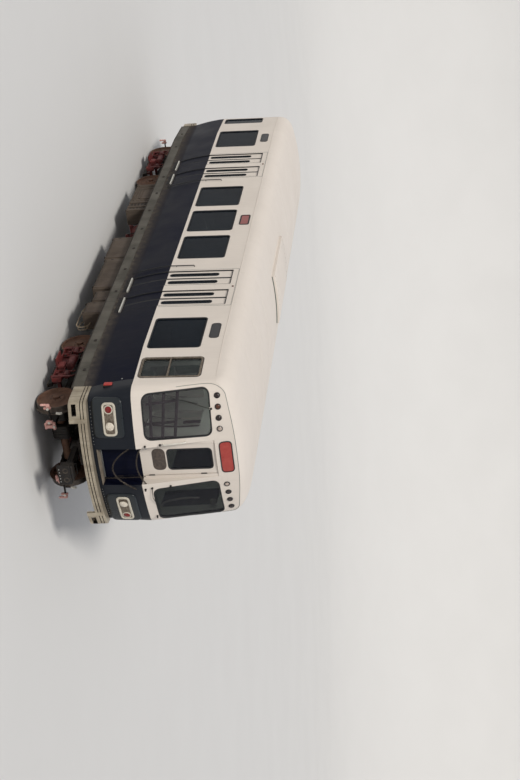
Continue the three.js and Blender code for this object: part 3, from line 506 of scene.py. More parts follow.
def look(base, second, patch_mm, grain_mm, grain_depth, rough, **more):
    """A finish's recipe. Lengths are in mm and colours as tone takes them. Broad patches shift from base to second,
    streaks of grime run down, and dust gathers between two heights."""
    plain = dict(patch=0.5, metallic=0.0, ior=1.5, streak=0.0, streak_mm=45, stretch=14, grime="2a2622", dust=0.0,
                 dust_colour="8b8171", dust_z=(0.9, 1.5), alpha=1.0, glow=0.0, gloss=0.5, upper=None)
    return {**plain, **more, "base": base, "second": second, "patch_mm": patch_mm, "grain_mm": grain_mm,
            "grain_depth": grain_depth, "rough": rough}


# Orange peel, cast skin and grains of rust are about 1 mm or finer. They are drawn at 2 to 9 mm, so that they show.
RECIPES = {
    # Alkyd enamel sprayed on steel sheet, cream above the belt and near black below: an even skin with a soft
    # shine, faint orange peel, rain streaks and road film that rises from the sill.
    "enamel_sprayed_body": look(
        ("lower_paint", 1.0), ("lower_paint", 1.6), 700, 4, 0.03, (0.32, 0.46),
        upper=(("upper_paint", 1.0), ("upper_paint", 0.92)), streak=0.06, grime="5a534a", dust=1.0,
        dust_colour="58524a", dust_z=(1.02, 1.25), gloss=0.05),
    # The front's lower wall: the same enamel as below the belt, painted a lighter, greyer tone as the front looks in
    # the light: a lit copy, with a little more gloss.
    "enamel_sprayed_nose": look(
        "161a22", "1d2229", 500, 4, 0.03, (0.28, 0.4), streak=0.06, grime="3a3833", gloss=0.2),
    # The raised lamp panels: the same enamel again, painted lighter, greyer and glossier than the wall behind them as
    # they look in the light: a lit copy.
    "enamel_sprayed_panel": look(
        "1b2125", "252b2f", 500, 4, 0.03, (0.25, 0.36), streak=0.06, grime="3a3833", gloss=0.4),
    # The same enamel on the roof, weathered matt, with soot drawn out along the sheet.
    "enamel_weathered_roof": look(
        ("upper_paint", 1.0), ("upper_paint", 0.92), 1100, 6, 0.06, (0.45, 0.65), streak=0.06, streak_mm=160,
        stretch=5, grime="9c9286"),
    # Melamine laminate pressed on board, pale green: smooth, satin and slightly cloudy.
    "laminate_pressed_green": look("afb8ad", "9fa89d", 500, 1.5, 0.02, (0.35, 0.45)),
    # The same laminate in white on the ceiling: flat and a little chalky.
    "laminate_pressed_white": look("d8d7cd", "c9c8bd", 600, 1.5, 0.02, (0.4, 0.5)),
    # Extruded aluminium left bare outdoors: grey-brown oxide, streaks of road film and dull highlights. The end beams'
    # grooves are drawn in the dark grimy steel instead: painted shade with grime.
    "aluminium_extruded_weathered": look(
        "beb39f", "928775", 260, 2, 0.05, (0.34, 0.52), patch=0.8, metallic=0.6, streak=0.35, grime="5a4f42"),
    # The step before the end door: aluminium plate worn dull and dusty.
    "aluminium_worn_step": look("93887a", "766c5f", 90, 3, 0.1, (0.5, 0.7), patch=0.8, metallic=0.4),
    # The body's sill strip: painted aluminium under a film of brown dust.
    "aluminium_painted_sill": look(
        "57534a", "423f38", 420, 5, 0.08, (0.55, 0.75), patch=0.9, metallic=0.15, streak=0.45, grime="2c2924"),
    # Drawn aluminium trim, brushed clean by hands and cloths: light grey. Its grain is drawn coarser than the real
    # tenth of a millimetre, so that it shows.
    "aluminium_drawn_trim": look("aeb0ad", "8f918d", 90, 0.8, 0.01, (0.28, 0.42), metallic=0.9),
    # Milled aluminium tread, scoured bright by shoes.
    "aluminium_milled_tread": look("d4d2ca", "b2afa5", 60, 6, 0.15, (0.3, 0.5), metallic=0.7),
    # Enamel brushed on the window reveals: flat grey-green.
    "enamel_brushed_reveal": look("66706b", "545c58", 120, 2, 0.02, (0.4, 0.5)),
    # Extruded EPDM rubber, weathered: black with a grey bloom.
    "rubber_extruded_black": look("17181a", "25272a", 70, 1.2, 0.04, (0.6, 0.8), ior=1.52),
    # Rolled synthetic rubber floor, dark with worn patches.
    "rubber_rolled_floor": look("2d302f", "474a47", 600, 4, 0.1, (0.5, 0.8), patch=0.8),
    # Float glass, tinted for the saloon: nearly black from outside, with sharp reflections.
    "glass_float_tinted": look("07101a", "0c1822", 800, 400, 0.05, (0.02, 0.05), ior=1.52, alpha=0.9, gloss=0.05),
    # Laminated float glass of the cab: a grey cast through which the inside shows.
    "glass_float_clear": look("1d2123", "282d2f", 400, 400, 0.05, (0.02, 0.05), ior=1.52, alpha=0.58, gloss=0.3),
    # Laminated windshield before the cab: the same glass as the far one, painted paler grey: a painted reflection that
    # greys what lies behind.
    "glass_laminated_near": look("464145", "565156", 420, 500, 0.05, (0.03, 0.08), ior=1.52, alpha=0.35, gloss=0.35),
    # The same laminated glass in the far windshield and the end door pane, painted nearly black: painted shade, sharply
    # reflecting.
    "glass_laminated_far": look("10121a", "191c24", 420, 500, 0.05, (0.03, 0.08), ior=1.52, alpha=0.58, gloss=0.3),
    # Moulded acrylic sign face: red, faded by the sun, with a smooth gloss.
    "acrylic_moulded_red": look("9c3a34", "b4544a", 120, 2, 0.01, (0.25, 0.4), ior=1.49),
    # The side sign's acrylic face, longer in the sun: a duller, browner red.
    "acrylic_faded_red": look("87423e", "9a5a55", 120, 2, 0.01, (0.3, 0.45), ior=1.49),
    # Vitreous enamel fired on number plates, left bare: near black with a soft gloss.
    "enamel_fired_plate": look("1a1a1e", "28272a", 80, 2, 0.02, (0.3, 0.45)),
    # Moulded phenolic panel on the end door: mottled brown.
    "phenolic_moulded_brown": look("3d3430", "564b43", 60, 2, 0.05, (0.4, 0.6), patch=0.9),
    # Head lamp glass, pressed clear with ripples that break up the reflector behind it.
    "glass_pressed_clear": look("ddd5c6", "a99b88", 24, 9, 0.6, (0.05, 0.15), patch=0.7, ior=1.52, glow=0.06),
    # Tail lamp glass, pressed ruby: a deep red that glints where it bulges.
    "glass_pressed_ruby": look("7c1a16", "5a1010", 20, 8, 0.5, (0.08, 0.2), ior=1.52),
    # Marker light out of use: pressed glass over a dark well.
    "glass_pressed_dark": look("241c1c", "3a2a26", 20, 8, 0.5, (0.06, 0.2), ior=1.52),
    # Amber marker and door light glass, pressed: unlit, so brown.
    "glass_pressed_amber": look("4a2c20", "70402a", 20, 8, 0.5, (0.08, 0.2), ior=1.52),
    # Clear marker light glass, pressed and ribbed: pale streaks over a grey well.
    "glass_pressed_marker": look("8d7a70", "c9bdb2", 30, 8, 0.5, (0.08, 0.2), patch=0.9, ior=1.52),
    # Spun aluminium of lamp wells and the cab window's frame: dulled, with rings of brown.
    "aluminium_spun_reflector": look("8c8173", "5d5347", 40, 4, 0.1, (0.2, 0.4), patch=0.8, metallic=0.85),
    # Die-cast lamp bezel in cream enamel: chalky, with soft highlights on its rim.
    "enamel_diecast_cream": look("c9c2b2", "aaa294", 90, 2, 0.03, (0.35, 0.5)),
    # Diffuser of the ceiling lights: opal acrylic with a faint light of its own.
    "acrylic_opal_diffuser": look("f2f2ea", "e2e3da", 200, 3, 0.02, (0.4, 0.5), glow=3.0),
    # Rolled and welded steel of frames, painted black long ago under oil and brake dust.
    "steel_welded_grimy": look(
        "221e1b", "332c26", 180, 8, 0.5, (0.6, 0.9), patch=0.9, metallic=0.25, streak=0.25, grime="40372d"),
    # Forged wheel steel with brown rust and brake dust.
    "steel_forged_rusty": look("5e4335", "765948", 70, 5, 0.3, (0.55, 0.8), patch=0.9, metallic=0.45),
    # Wheel tread rolled bright by the rail: a smoother, greyer ring.
    "steel_rolled_bright": look("5f5750", "4a413a", 60, 2, 0.05, (0.35, 0.5), metallic=0.8),
    # Cast steel couplers, dark with rubbed edges.
    "steel_cast_dark": look("1e1c1b", "332d28", 60, 6, 0.6, (0.5, 0.75), patch=0.8, metallic=0.4),
    # Red oxide enamel of the brake gear in a pale pink, a lit copy of the brake gear's red: painted highlight where the
    # sun falls on it.
    "enamel_faded_pink": look("c58a80", "d8b0a6", 40, 4, 0.2, (0.5, 0.7), patch=0.9),
    # Red oxide enamel brushed on the brake gear, dulled by brake dust.
    "enamel_brushed_red": look("6c2523", "4a1f1d", 120, 5, 0.2, (0.5, 0.75), patch=0.9, streak=0.3, grime="332a25"),
    # Signal red enamel, sprayed: fresher than the brake gear's, and painted brighter as it looks in the sun: partly a
    # painted highlight.
    "enamel_sprayed_signal": look("a8312b", "8a2a26", 60, 3, 0.1, (0.35, 0.5)),
    # Sheet steel boxes under the floor in brown-grey enamel under dust.
    "enamel_dusty_box": look(
        "4c4138", "3a3029", 320, 6, 0.2, (0.6, 0.8), patch=0.9, metallic=0.1, streak=0.5, grime="5f5447", dust=0.3,
        dust_colour="6a5f52", dust_z=(0.4, 0.9)),
    # Vinyl over foam, embossed: green with a fine leathery grain and worn, paler crowns.
    "vinyl_embossed_green": look("35564a", "45685a", 160, 2.5, 0.25, (0.4, 0.55), ior=1.53),
    # Chromed steel tube, polished by hands: bright lines run along it.
    "steel_chromed_tube": look("c9cbcc", "b2b4b5", 120, 3, 0.01, (0.12, 0.22), metallic=1.0),
    # Galvanised chain, dull grey-brown.
    "steel_galvanised_chain": look("544d45", "3a342e", 25, 1.5, 0.05, (0.5, 0.7), patch=0.9, metallic=0.6),
    # Braided hose with a rubbed beige cover.
    "rubber_braided_beige": look("a08f76", "7a6b57", 40, 3, 0.4, (0.6, 0.8), patch=0.8, ior=1.52),
    # White enamel dipped on hand holds: slightly yellowed, with broad highlights.
    "enamel_dipped_white": look("d6d2c8", "bcb6aa", 60, 2, 0.03, (0.35, 0.5)),
    # Studio floor of board painted matt: even and pale, so that shadows read.
    "board_painted_pale": look("cfcecc", "cccbc9", 4000, 30, 0.2, (0.7, 0.85)),
}


def material(name):
    """The finish of that name, made once from its recipe."""
    if name in bpy.data.materials:
        return bpy.data.materials[name]
    recipe = RECIPES[name]
    made = bpy.data.materials.new(name)
    made.use_nodes = True
    shader = made.node_tree.nodes["Principled BSDF"]
    add = partial(add_node, made.node_tree)
    noise, span, mixed, sums = "ShaderNodeTexNoise", "ShaderNodeMapRange", "ShaderNodeMix", "ShaderNodeMath"
    place = add("ShaderNodeTexCoord").outputs["Object"]
    height = add("ShaderNodeSeparateXYZ", {0: place}).outputs["Z"]

    patches = add(noise, {"Vector": place, "Scale": 1000 / recipe["patch_mm"], "Detail": 4.0}).outputs[0]
    spots = add(span, {0: patches, 1: 0.35, 2: 0.65, 3: 0.0, 4: recipe["patch"]}).outputs[0]
    colour = add(mixed, {0: spots, 6: tone(recipe["base"]), 7: tone(recipe["second"])}, data_type="RGBA").outputs[2]
    if recipe["upper"]:
        above = add(sums, {0: height, 1: BELT}, operation="GREATER_THAN").outputs[0]
        upper, upper_second = (tone(c) for c in recipe["upper"])
        upper = add(mixed, {0: spots, 6: upper, 7: upper_second}, data_type="RGBA").outputs[2]
        colour = add(mixed, {0: above, 6: colour, 7: upper}, data_type="RGBA").outputs[2]
    if recipe["streak"]:
        drawn = add("ShaderNodeMapping", {"Vector": place, "Scale": (1.0, 1.0, 1.0 / recipe["stretch"])}).outputs[0]
        streaks = add(noise, {"Vector": drawn, "Scale": 1000 / recipe["streak_mm"], "Detail": 3.0}).outputs[0]
        share = add(span, {0: streaks, 1: 0.5, 2: 0.8, 3: 0.0, 4: recipe["streak"]}).outputs[0]
        colour = add(mixed, {0: share, 6: colour, 7: tone(recipe["grime"])}, data_type="RGBA").outputs[2]
    start, end = recipe["rough"]
    rough = add(span, {0: patches, 1: 0.3, 2: 0.7, 3: start, 4: end}).outputs[0]
    if recipe["dust"]:
        low, high = recipe["dust_z"]
        fall = add(span, {0: height, 1: low, 2: high, 3: recipe["dust"], 4: 0.0}).outputs[0]
        cloud = add(noise, {"Vector": place, "Scale": 1000 / DUST_CLOUD_MM, "Detail": 4.0}).outputs[0]
        cloud = add(span, {0: cloud, 1: 0.3, 2: 0.7, 3: 0.35, 4: 1.0}).outputs[0]
        film = add(sums, {0: fall, 1: cloud}, operation="MULTIPLY").outputs[0]
        colour = add(mixed, {0: film, 6: colour, 7: tone(recipe["dust_colour"])}, data_type="RGBA").outputs[2]
        rough = add(sums, {0: rough, 1: film}, operation="ADD", use_clamp=True).outputs[0]
    grain = add(noise, {"Vector": place, "Scale": 1000 / recipe["grain_mm"], "Detail": 2.0}).outputs[0]
    bump = add("ShaderNodeBump", {"Height": grain, "Strength": 1.0, "Distance": recipe["grain_depth"] / 1000})

    for socket, output in (("Base Color", colour), ("Roughness", rough), ("Normal", bump.outputs[0])):
        made.node_tree.links.new(output, shader.inputs[socket])
    values = {"Metallic": recipe["metallic"], "Specular IOR Level": recipe["gloss"], "Alpha": recipe["alpha"]}
    if recipe["metallic"] < 0.5:
        values["IOR"] = recipe["ior"]
    if recipe["glow"]:
        values |= {"Emission Color": tone(recipe["base"]), "Emission Strength": recipe["glow"]}
    for socket, value in values.items():
        shader.inputs[socket].default_value = value
    return made


def dress(node, *finishes):
    """Gives a CAD node that stays a finish in its material slots."""
    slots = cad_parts[node].material_slots
    for slot, finish in zip(slots, finishes * len(slots)):
        slot.material = material(finish)


# Sides

# Outlines of one side's windows, in y and z, with the cab's last
WINDOWS = [rounded_box(*ys, *WINDOW_Z, 0.07) for ys in MIDDLE_WINDOWS + END_ROOM_WINDOWS]
WINDOWS += [rounded_box(*REAR_SLIT, *WINDOW_Z, 0.06), rounded_box(*CAB_WINDOW, *CAB_WINDOW_Z, 0.06)]

# The y ranges of a side's four door openings, two to a doorway
DOOR_OPENINGS = [(middle + a, middle + b) for middle in (-DOORWAY, DOORWAY)
                 for a, b in ((-DOORWAY_HALF, -POST_HALF), (POST_HALF, DOORWAY_HALF))]


def body_side(name, side):
    piece, tool = Piece(), Piece()
    levels = [SILL, SILL_TOP, *steps(TREAD, BELT, 12), 2.4, EAVE]
    grid = lambda depth: [[side_surface(side, depth)(y, z) for z in levels]
                          for y in (-FRONT_JOINT, -TAPER_FROM, TAPER_FROM, REAR_JOINT)]
    piece.plate(grid(0), grid(WALL), ["aluminium_painted_sill"] + [BODY_PAINT] * (len(levels) - 2),
                [WELDED] * 2 + [LINING] * (len(levels) - 3), BODY_PAINT)
    for outline in WINDOWS:
        tool.prism(outline, "x", side * 1.2, side * 1.5, REVEAL, 0.0005)
    for y0, y1 in DOOR_OPENINGS:
        tool.block((side * 1.2, y0, TREAD), (side * 1.5, y1, DOOR_TOP), BODY_PAINT, 0)
    piece.carve(tool)
    for middle in (-DOORWAY, DOORWAY):
        piece.block((side * 1.2, middle - DOORWAY_HALF, DOOR_TOP + 0.004), (side * 1.345, middle + DOORWAY_HALF, 3.27),
                    LINING)
    piece.make(f"{name}_body_side", "white_paint", [f"{name}_{part}_side" for part in ("middle", "front", "rear")],
               even=True)


def side_trim(name, side):
    """Gaskets, door surrounds, treads, rails, plates and signs of one side."""
    looks = bpy.context.scene.car_looks
    surface = side_surface(side)
    floor_x, top_x = FLOOR_HALF, half_width(DOOR_TOP)
    trim = Piece()
    w = looks.gasket_width
    for outline in WINDOWS[:-1]:
        trim.moulding(outline, [(-0.01, -0.022), (-0.01, -0.002), (-0.004, 0.004), (w - 0.004, 0.003), (w, -0.002),
                                (0.001, -0.022)], surface, RUBBER)
    trim.moulding(WINDOWS[-1], [(-0.016, -0.022), (-0.016, 0.003), (-0.01, 0.008), (0.02, 0.008), (0.026, -0.002),
                                (0.001, -0.022)], surface, SPUN)
    trim.moulding(spread(WINDOWS[-1], 0.026), [(-0.001, -0.003), (-0.001, 0.004), (0.007, 0.003), (0.009, -0.003)],
                  surface, RUBBER)
    trim.pad(rounded_box(CAB_WINDOW[0] + 0.012, CAB_WINDOW[1] - 0.012, 2.43, 2.462, 0.004, 2),
             [(0, -0.004), (0.004, 0.002)], surface, SPUN, back=-0.019)
    for middle in (-DOORWAY, DOORWAY):
        arch = [(DOORWAY_HALF + 0.05, BELT + 0.02), (DOORWAY_HALF + 0.05, 3.245), (DOORWAY_HALF + 0.033, 3.262)]
        line = [Vector((middle - y, z)) for y, z in arch] + [Vector((middle + y, z)) for y, z in arch[::-1]]
        trim.moulding(line, [(-0.003, -0.003), (-0.003, 0.0025), (0.003, 0.0025), (0.003, -0.003)], surface, REVEAL,
                      closed=False)
        trim.lathe([(0.02, -0.004), (0.02, 0.008), (0.015, 0.014), (0.008, 0.018), (0.0, 0.019)],
                   lifted(surface, middle, 3.215), (side, 0, 0), "glass_pressed_amber", 20)
    for y0, y1 in DOOR_OPENINGS:
        # A black rubber strip across each opening's head: painted shade, the dark line that the head's shadow draws.
        trim.block((side * (top_x - 0.03), y0 + 0.001, DOOR_TOP - 0.004),
                   (side * (top_x + 0.004), y1 - 0.001, DOOR_TOP + 0.012), RUBBER, 0.002)
        for y in (y0, y1):
            trim.moulding([Vector((y, z)) for z in steps(TREAD + 0.01, DOOR_TOP, 14)],
                          [(-0.003, -0.02), (-0.003, 0.002), (0.003, 0.002), (0.003, -0.02)], surface, RUBBER,
                          closed=False)
        trim.block((side * (floor_x - 0.04), y0 + 0.01, TREAD - 0.03),
                   (side * (floor_x + 0.026), y1 - 0.01, TREAD + 0.001), "aluminium_milled_tread", 0.003)
        for z in (TREAD - 0.074, TREAD - 0.108):
            trim.block((side * (floor_x - 0.01), y0 + 0.03, z),
                       (side * (floor_x + 0.009), y1 - 0.03, z + 0.012), RUBBER, 0.002)
    trim.make(f"{name}_side_trim", "bare_aluminium")

    rails = Piece()
    stand = looks.handrail_stand
    for y in (-2.275, 2.275):
        heights = steps(1.15, 2.36, 16)
        rails.tube([lifted(surface, y, heights[0] - 0.012), *(lifted(surface, y, z, stand) for z in heights),
                    lifted(surface, y, heights[-1] + 0.012)], looks.handrail_radius, RUBBER, 10)
        for z in (1.62, 2.02):
            rails.tube([lifted(surface, y, z, -0.004), lifted(surface, y, z, stand)], 0.006, RUBBER, 8)
    rails.make(f"{name}_handrails", "frame_steel")

    signs = Piece()
    plate_rim = [(-0.01, 0.002), (-0.008, 0.007), (0.002, 0.007), (0.004, -0.004)]
    sign_rim = [(-0.022, 0.001), (-0.018, 0.01), (0.004, 0.01), (0.008, -0.004)]
    for place, lift, face, rim in (((-5.27, -4.72, 3.013, 3.183, 0.07), 0.004, PLATE, plate_rim),
                                   ((4.72, 5.27, 3.013, 3.183, 0.07), 0.004, PLATE, plate_rim),
                                   ((-0.276, 0.216, 3.026, 3.221, 0.05), 0.003, "acrylic_faded_red", sign_rim)):
        outline = rounded_box(*place)
        signs.pad(outline, [(0, 0.001), (0.003, lift)], surface, face)
        signs.moulding(outline, rim, surface, RUBBER)
    signs.make(f"{name}_side_signs", "green_paint")

    sill = Piece()
    for z0, z1, lift, finish in ((SILL, SILL + 0.022, 0.007, WELDED),
                                 (SILL_TOP - 0.012, SILL_TOP + 0.004, 0.006, "aluminium_painted_sill")):
        sill.skin([[Vector((side * (floor_x - taper(y) + dx), y, z)) for dx, z in
                    ((-0.01, z0), (lift, z0 + 0.003), (lift, z1 - 0.004), (-0.01, z1))]
                   for y in (-FRONT_JOINT + 0.004, -TAPER_FROM, TAPER_FROM, REAR_JOINT - 0.004)], finish)
    for y in range(-6, 7):
        if abs(abs(y) - DOORWAY) > 0.9 or y % 2:
            x = floor_x - taper(y)
            sill.block((side * (x - 0.01), y - 0.035, 0.905), (side * (x + 0.008), y + 0.035, 0.955), WELDED, 0.003)
    sill.make(f"{name}_sill_trim", "frame_steel")


# Roof and ends

def roof_shell():
    piece = Piece()
    grids = []
    for depth in (0.0, WALL):
        sections = [both_sides(roof_section(y, depth)) for y in (-ROOF_FRONT, -TAPER_FROM, TAPER_FROM, REAR_JOINT)]
        grids.append(list(zip(*sections)))
    piece.plate(*grids, ROOF_PAINT, CEILING, ROOF_PAINT)
    piece.make("roof_sheet", "white_paint", ["roof"], even=True)

    cap = Piece()
    half, end, rise, edge = 0.53, 1.035, 0.065, 0.014
    on_sheet = lambda x, y, up: Vector((x, y, ROOF - ROOF_CROWN * x * x + up))
    xs = steps(-half, half, 20)
    ys = [-end, -end + edge * 0.3, -end + edge, -0.5, 0, 0.5, end - edge, end - edge * 0.3, end]
    lip = [rise - edge, rise - edge * 0.3, *[rise] * 5, rise - edge * 0.3, rise - edge]
    top = [[on_sheet(x, y, min(h, rise - (0 if abs(x) < half else edge))) for y, h in zip(ys, lip)] for x in xs]
    low = [[on_sheet(x, y, -0.02) for y in ys] for x in xs]
    cap.plate(top, low, ROOF_PAINT, ROOF_PAINT, ROOF_PAINT)
    # A grey-green strip at the foot of each end face of the fairing: painted shade, the dark line of the end face in
    # shadow.
    for way in (-1, 1):
        cap.skin([[on_sheet(x, way * (end + out), up) for out, up in
                   ((-0.004, -0.01), (0.004, -0.01), (0.004, 0.018), (-0.004, 0.02))] for x in xs], REVEAL)
    for y in (-end + 0.11, end - 0.11):
        for x in xs[1::2]:
            cap.lathe([(0.009, -0.002), (0.008, 0.003), (0.0, 0.004)], on_sheet(x, y, rise), (0, 0, 1), BARE, 8)
    cap.make("roof_fairing", "white_paint")

    seams = Piece()
    for y in (-5.2, -3.9, -2.6, 2.6, 3.9, 5.2):
        rows = []
        for p in both_sides(roof_section(y)):
            up = Vector((p.x * 0.25, 0, 1)).normalized() if abs(p.x) < 1.06 else Vector((p.x, 0, 0.5)).normalized()
            rows.append([p + up * h + Vector((0, dy, 0)) for dy, h in
                         ((-0.006, -0.003), (-0.004, 0.0025), (0.004, 0.0025), (0.006, -0.003))])
        seams.skin(rows, ROOF_PAINT)
    for side in (-1, 1):
        seams.skin([[Vector((side * (half_width(EAVE) - taper(y) + dx), y, EAVE + dz)) for dx, dz in
                     ((-0.01, -0.004), (0.004, -0.004), (0.007, 0.0), (0.006, 0.007), (-0.01, 0.01))]
                    for y in (-FRONT_JOINT + 0.06, -TAPER_FROM, TAPER_FROM, REAR_JOINT)], ROOF_PAINT)
    seams.make("roof_seams", "white_paint")


# Plan positions round an end, closer together at its corner
PLAN = [0, 0.5, 1, *steps(1, 4, 10)[1:-1], *steps(4, 8, 12)]


def end_grid(low, high, depth):
    """Columns of points round the front between two heights."""
    return both_sides([[end_point(t, z, depth) for z in steps(low, high(t), 14)] for t in PLAN])


def front_wall(piece, low, high, finish):
    """The front wall between two heights, before its openings are cut."""
    piece.plate(end_grid(low, high, 0), end_grid(low, high, WALL), finish, LINING, finish)


def mask_shell():
    piece, tool = Piece(), Piece()
    head = STORM_TOP + DOOR_GAP
    front_wall(piece, BELT, brow, BODY_PAINT)
    for _, side in SIDES:
        tool.prism(rounded([(side * x, z) for x, z in WINDSHIELD], 0.13, 12), "y", -7.4, -6.55, RUBBER, 0.0005)
    tool.block((-RECESS_HALF, -7.4, 1.8), (RECESS_HALF, -6.8, head), BODY_PAINT, 0)
    piece.carve(tool)
    recess_frame(piece, BELT, head - 0.001)
    piece.block((-RECESS_HALF - 0.04, -STORM_FRONT - 0.03, head), (RECESS_HALF + 0.04, -STORM_FRONT, STORM_TOP + 0.05),
                BODY_PAINT, 0.003)
    piece.make("front_mask_shell", "white_paint", ["front_mask"], even=True)


def recess_frame(piece, z0, z1):
    """The returns of the end door's recess behind the wall, and the frame that the door closes against."""
    for _, side in SIDES:
        for x0, x1, y1, front in (
            (RECESS_HALF + 0.0005, RECESS_HALF + 0.044, -STORM_FRONT, lambda z: face_y(RECESS_HALF + 0.0005, z) + 0.04),
            (STORM_HALF + DOOR_GAP, RECESS_HALF + 0.002, -STORM_FRONT - 0.026,
             lambda z: max(face_y(RECESS_HALF + 0.002, z) + 0.012, -STORM_FRONT - STORM_THICK - 0.02)),
        ):
            rings = []
            for z in steps(z0, z1, 10):
                y0 = min(front(z), y1 - 0.004)
                rings.append([Vector((side * x, y, z)) for x, y in ((x0, y0), (x1, y0), (x1, y1), (x0, y1))])
            piece.skin(rings, BODY_PAINT)


def dome_shell():
    piece = Piece()
    grids = []
    for depth in (0.0, WALL):
        half = []
        for t in PLAN:
            foot, head = end_point(t, brow(t), depth), roof_at(t, -ROOF_FRONT, depth)
            knee = Vector([mix(a, b, share) for a, b, share in zip(foot, head, (0.3, 0.2, 0.9))])
            half.append([bend(foot, knee, head, u) for u in steps(0, 1, 16)])
        grids.append(both_sides(half))
    piece.plate(*grids, ROOF_PAINT, CEILING, ROOF_PAINT)
    piece.make("front_dome_shell", "white_paint", ["front_dome"])


def nose_shell():
    piece, tool = Piece(), Piece()
    front_wall(piece, BEAM_TOP, lambda t: BELT, NOSE_PAINT)
    tool.block((-RECESS_HALF, -7.4, 1.1), (RECESS_HALF, -6.8, 2.0), BODY_PAINT, 0)
    piece.carve(tool)
    recess_frame(piece, BEAM_TOP, BELT)
    piece.block((-RECESS_HALF - 0.02, -7.1, BEAM_TOP), (RECESS_HALF + 0.02, -STORM_FRONT + 0.02, TREAD), BARE)
    step_top, back = 1.224, -STORM_FRONT - STORM_THICK - 0.008
    for lift, z0, z1, finish in ((0.0, BEAM_TOP, step_top - 0.006, NOSE_PAINT),
                                 (0.006, step_top - 0.006, step_top, STEP)):
        rings = []
        for x in steps(-RECESS_HALF + 0.0005, RECESS_HALF - 0.0005, 12):
            y = face_y(x, z0) + 0.002 - lift
            rings.append([Vector((x, *p)) for p in ((y, z0), (y, z1), (back, z1), (back, z0))])
        piece.skin(rings, finish)
    for y in steps(-7.155, back - 0.03, 6):
        piece.block((-0.33, y - 0.004, step_top - 0.002), (0.33, y + 0.004, step_top + 0.003), STEP, 0.001)
    piece.block((-STORM_HALF, back - 0.01, step_top - 0.002), (STORM_HALF, back + 0.003, 1.25), TRIM, 0.002)
    soft = [(0, -0.004), (0, 0.006), (0.004, 0.014), (0.011, 0.022), (0.02, 0.027), (0.032, LAMP_PANEL_LIFT)]
    for _, side in SIDES:
        outline = dense(rounded_box(*sorted((side * 0.56, side * 1.23)), 1.215, 1.745, 0.11, 10), 0.04)
        # The panels take the lighter lit copy of the enamel: painted light.
        piece.pad(outline, soft, front_surface, "enamel_sprayed_panel", rings=8, back=-0.006)
    piece.make("front_nose_shell", "green_paint", ["front_nose"], even=True)


def rear_shell():
    piece, room, tool = Piece(), Piece(), Piece()
    levels = [BEAM_TOP, *steps(TREAD, BELT, 12)]

    def ring(y, depth):
        low = [Vector((half_width(z) - taper(REAR_JOINT) - depth, y, z)) for z in levels]
        return both_sides(low + [Vector((p.x, y, p.z)) for p in roof_section(REAR_JOINT, depth)])

    edge = [(REAR_WALL - 0.095, 0.0)] + [(REAR_WALL - 0.08 + 0.08 * math.sin(a), 0.075 * (1 - math.cos(a)))
                                         for a in steps(0, math.pi / 2, 8)]
    piece.skin([ring(*place) for place in edge], BODY_PAINT)
    room.skin([ring(y, WALL) for y in (REAR_JOINT - 0.02, REAR_WALL - WALL)], LINING)
    piece.carve(room)
    tool.block((-STORM_HALF - DOOR_GAP, STORM_REAR - 0.1, TREAD),
               (STORM_HALF + DOOR_GAP, REAR_WALL + 0.1, STORM_TOP + DOOR_GAP), BODY_PAINT, 0)
    piece.carve(tool)
    piece.block((-STORM_HALF - 0.06, STORM_REAR - 0.055, BEAM_TOP), (STORM_HALF + 0.06, REAR_WALL - 0.02, TREAD), BARE)
    wall = lambda x, z: Vector((x, REAR_WALL, z))
    door = rounded_box(-STORM_HALF - 0.02, STORM_HALF + 0.02, TREAD, STORM_TOP + 0.03, 0.02, 3)
    piece.moulding(door, [(-0.012, -0.01), (-0.012, 0.006), (0.01, 0.006), (0.014, -0.004)], wall, RUBBER)
    for _, side in SIDES:
        x = side * 0.86
        piece.pad(rounded_box(x - 0.19, x + 0.19, 2.25, 2.85, 0.06), [(0, 0.002), (0.004, 0.006)], wall, BODY_PAINT)
        piece.tube([(side * 0.46, REAR_WALL + out, z) for out, z in
                    ((-0.004, 1.45), (0.045, 1.47), (0.045, 2.43), (-0.004, 2.45))], 0.013, WHITE, 10)
        for z, lens in ((1.3, "glass_pressed_ruby"), (1.52, PLATE), (2.34, PLATE)):
            piece.lathe([(0.055, -0.004), (0.055, 0.014), (0.045, 0.02), (0.04, 0.016), (0.0, 0.026)],
                        (side * 1.05, REAR_WALL, z), (0, 1, 0), lens, 24)
    piece.make("rear_end_shell", "white_paint", ["rear_end"], even=True)


# Wipers: pivot, elbow, tip of the arm and ends of the blade, in x and z
WIPERS = {
    "near": ((-0.904, 3.193), (-0.96, 3.06), (-1.085, 2.76), ((-1.01, 2.98), (-1.15, 2.54))),
    "far": ((0.449, 2.056), (0.64, 2.04), (0.82, 2.075), ((0.62, 2.086), (1.06, 2.092))),
}


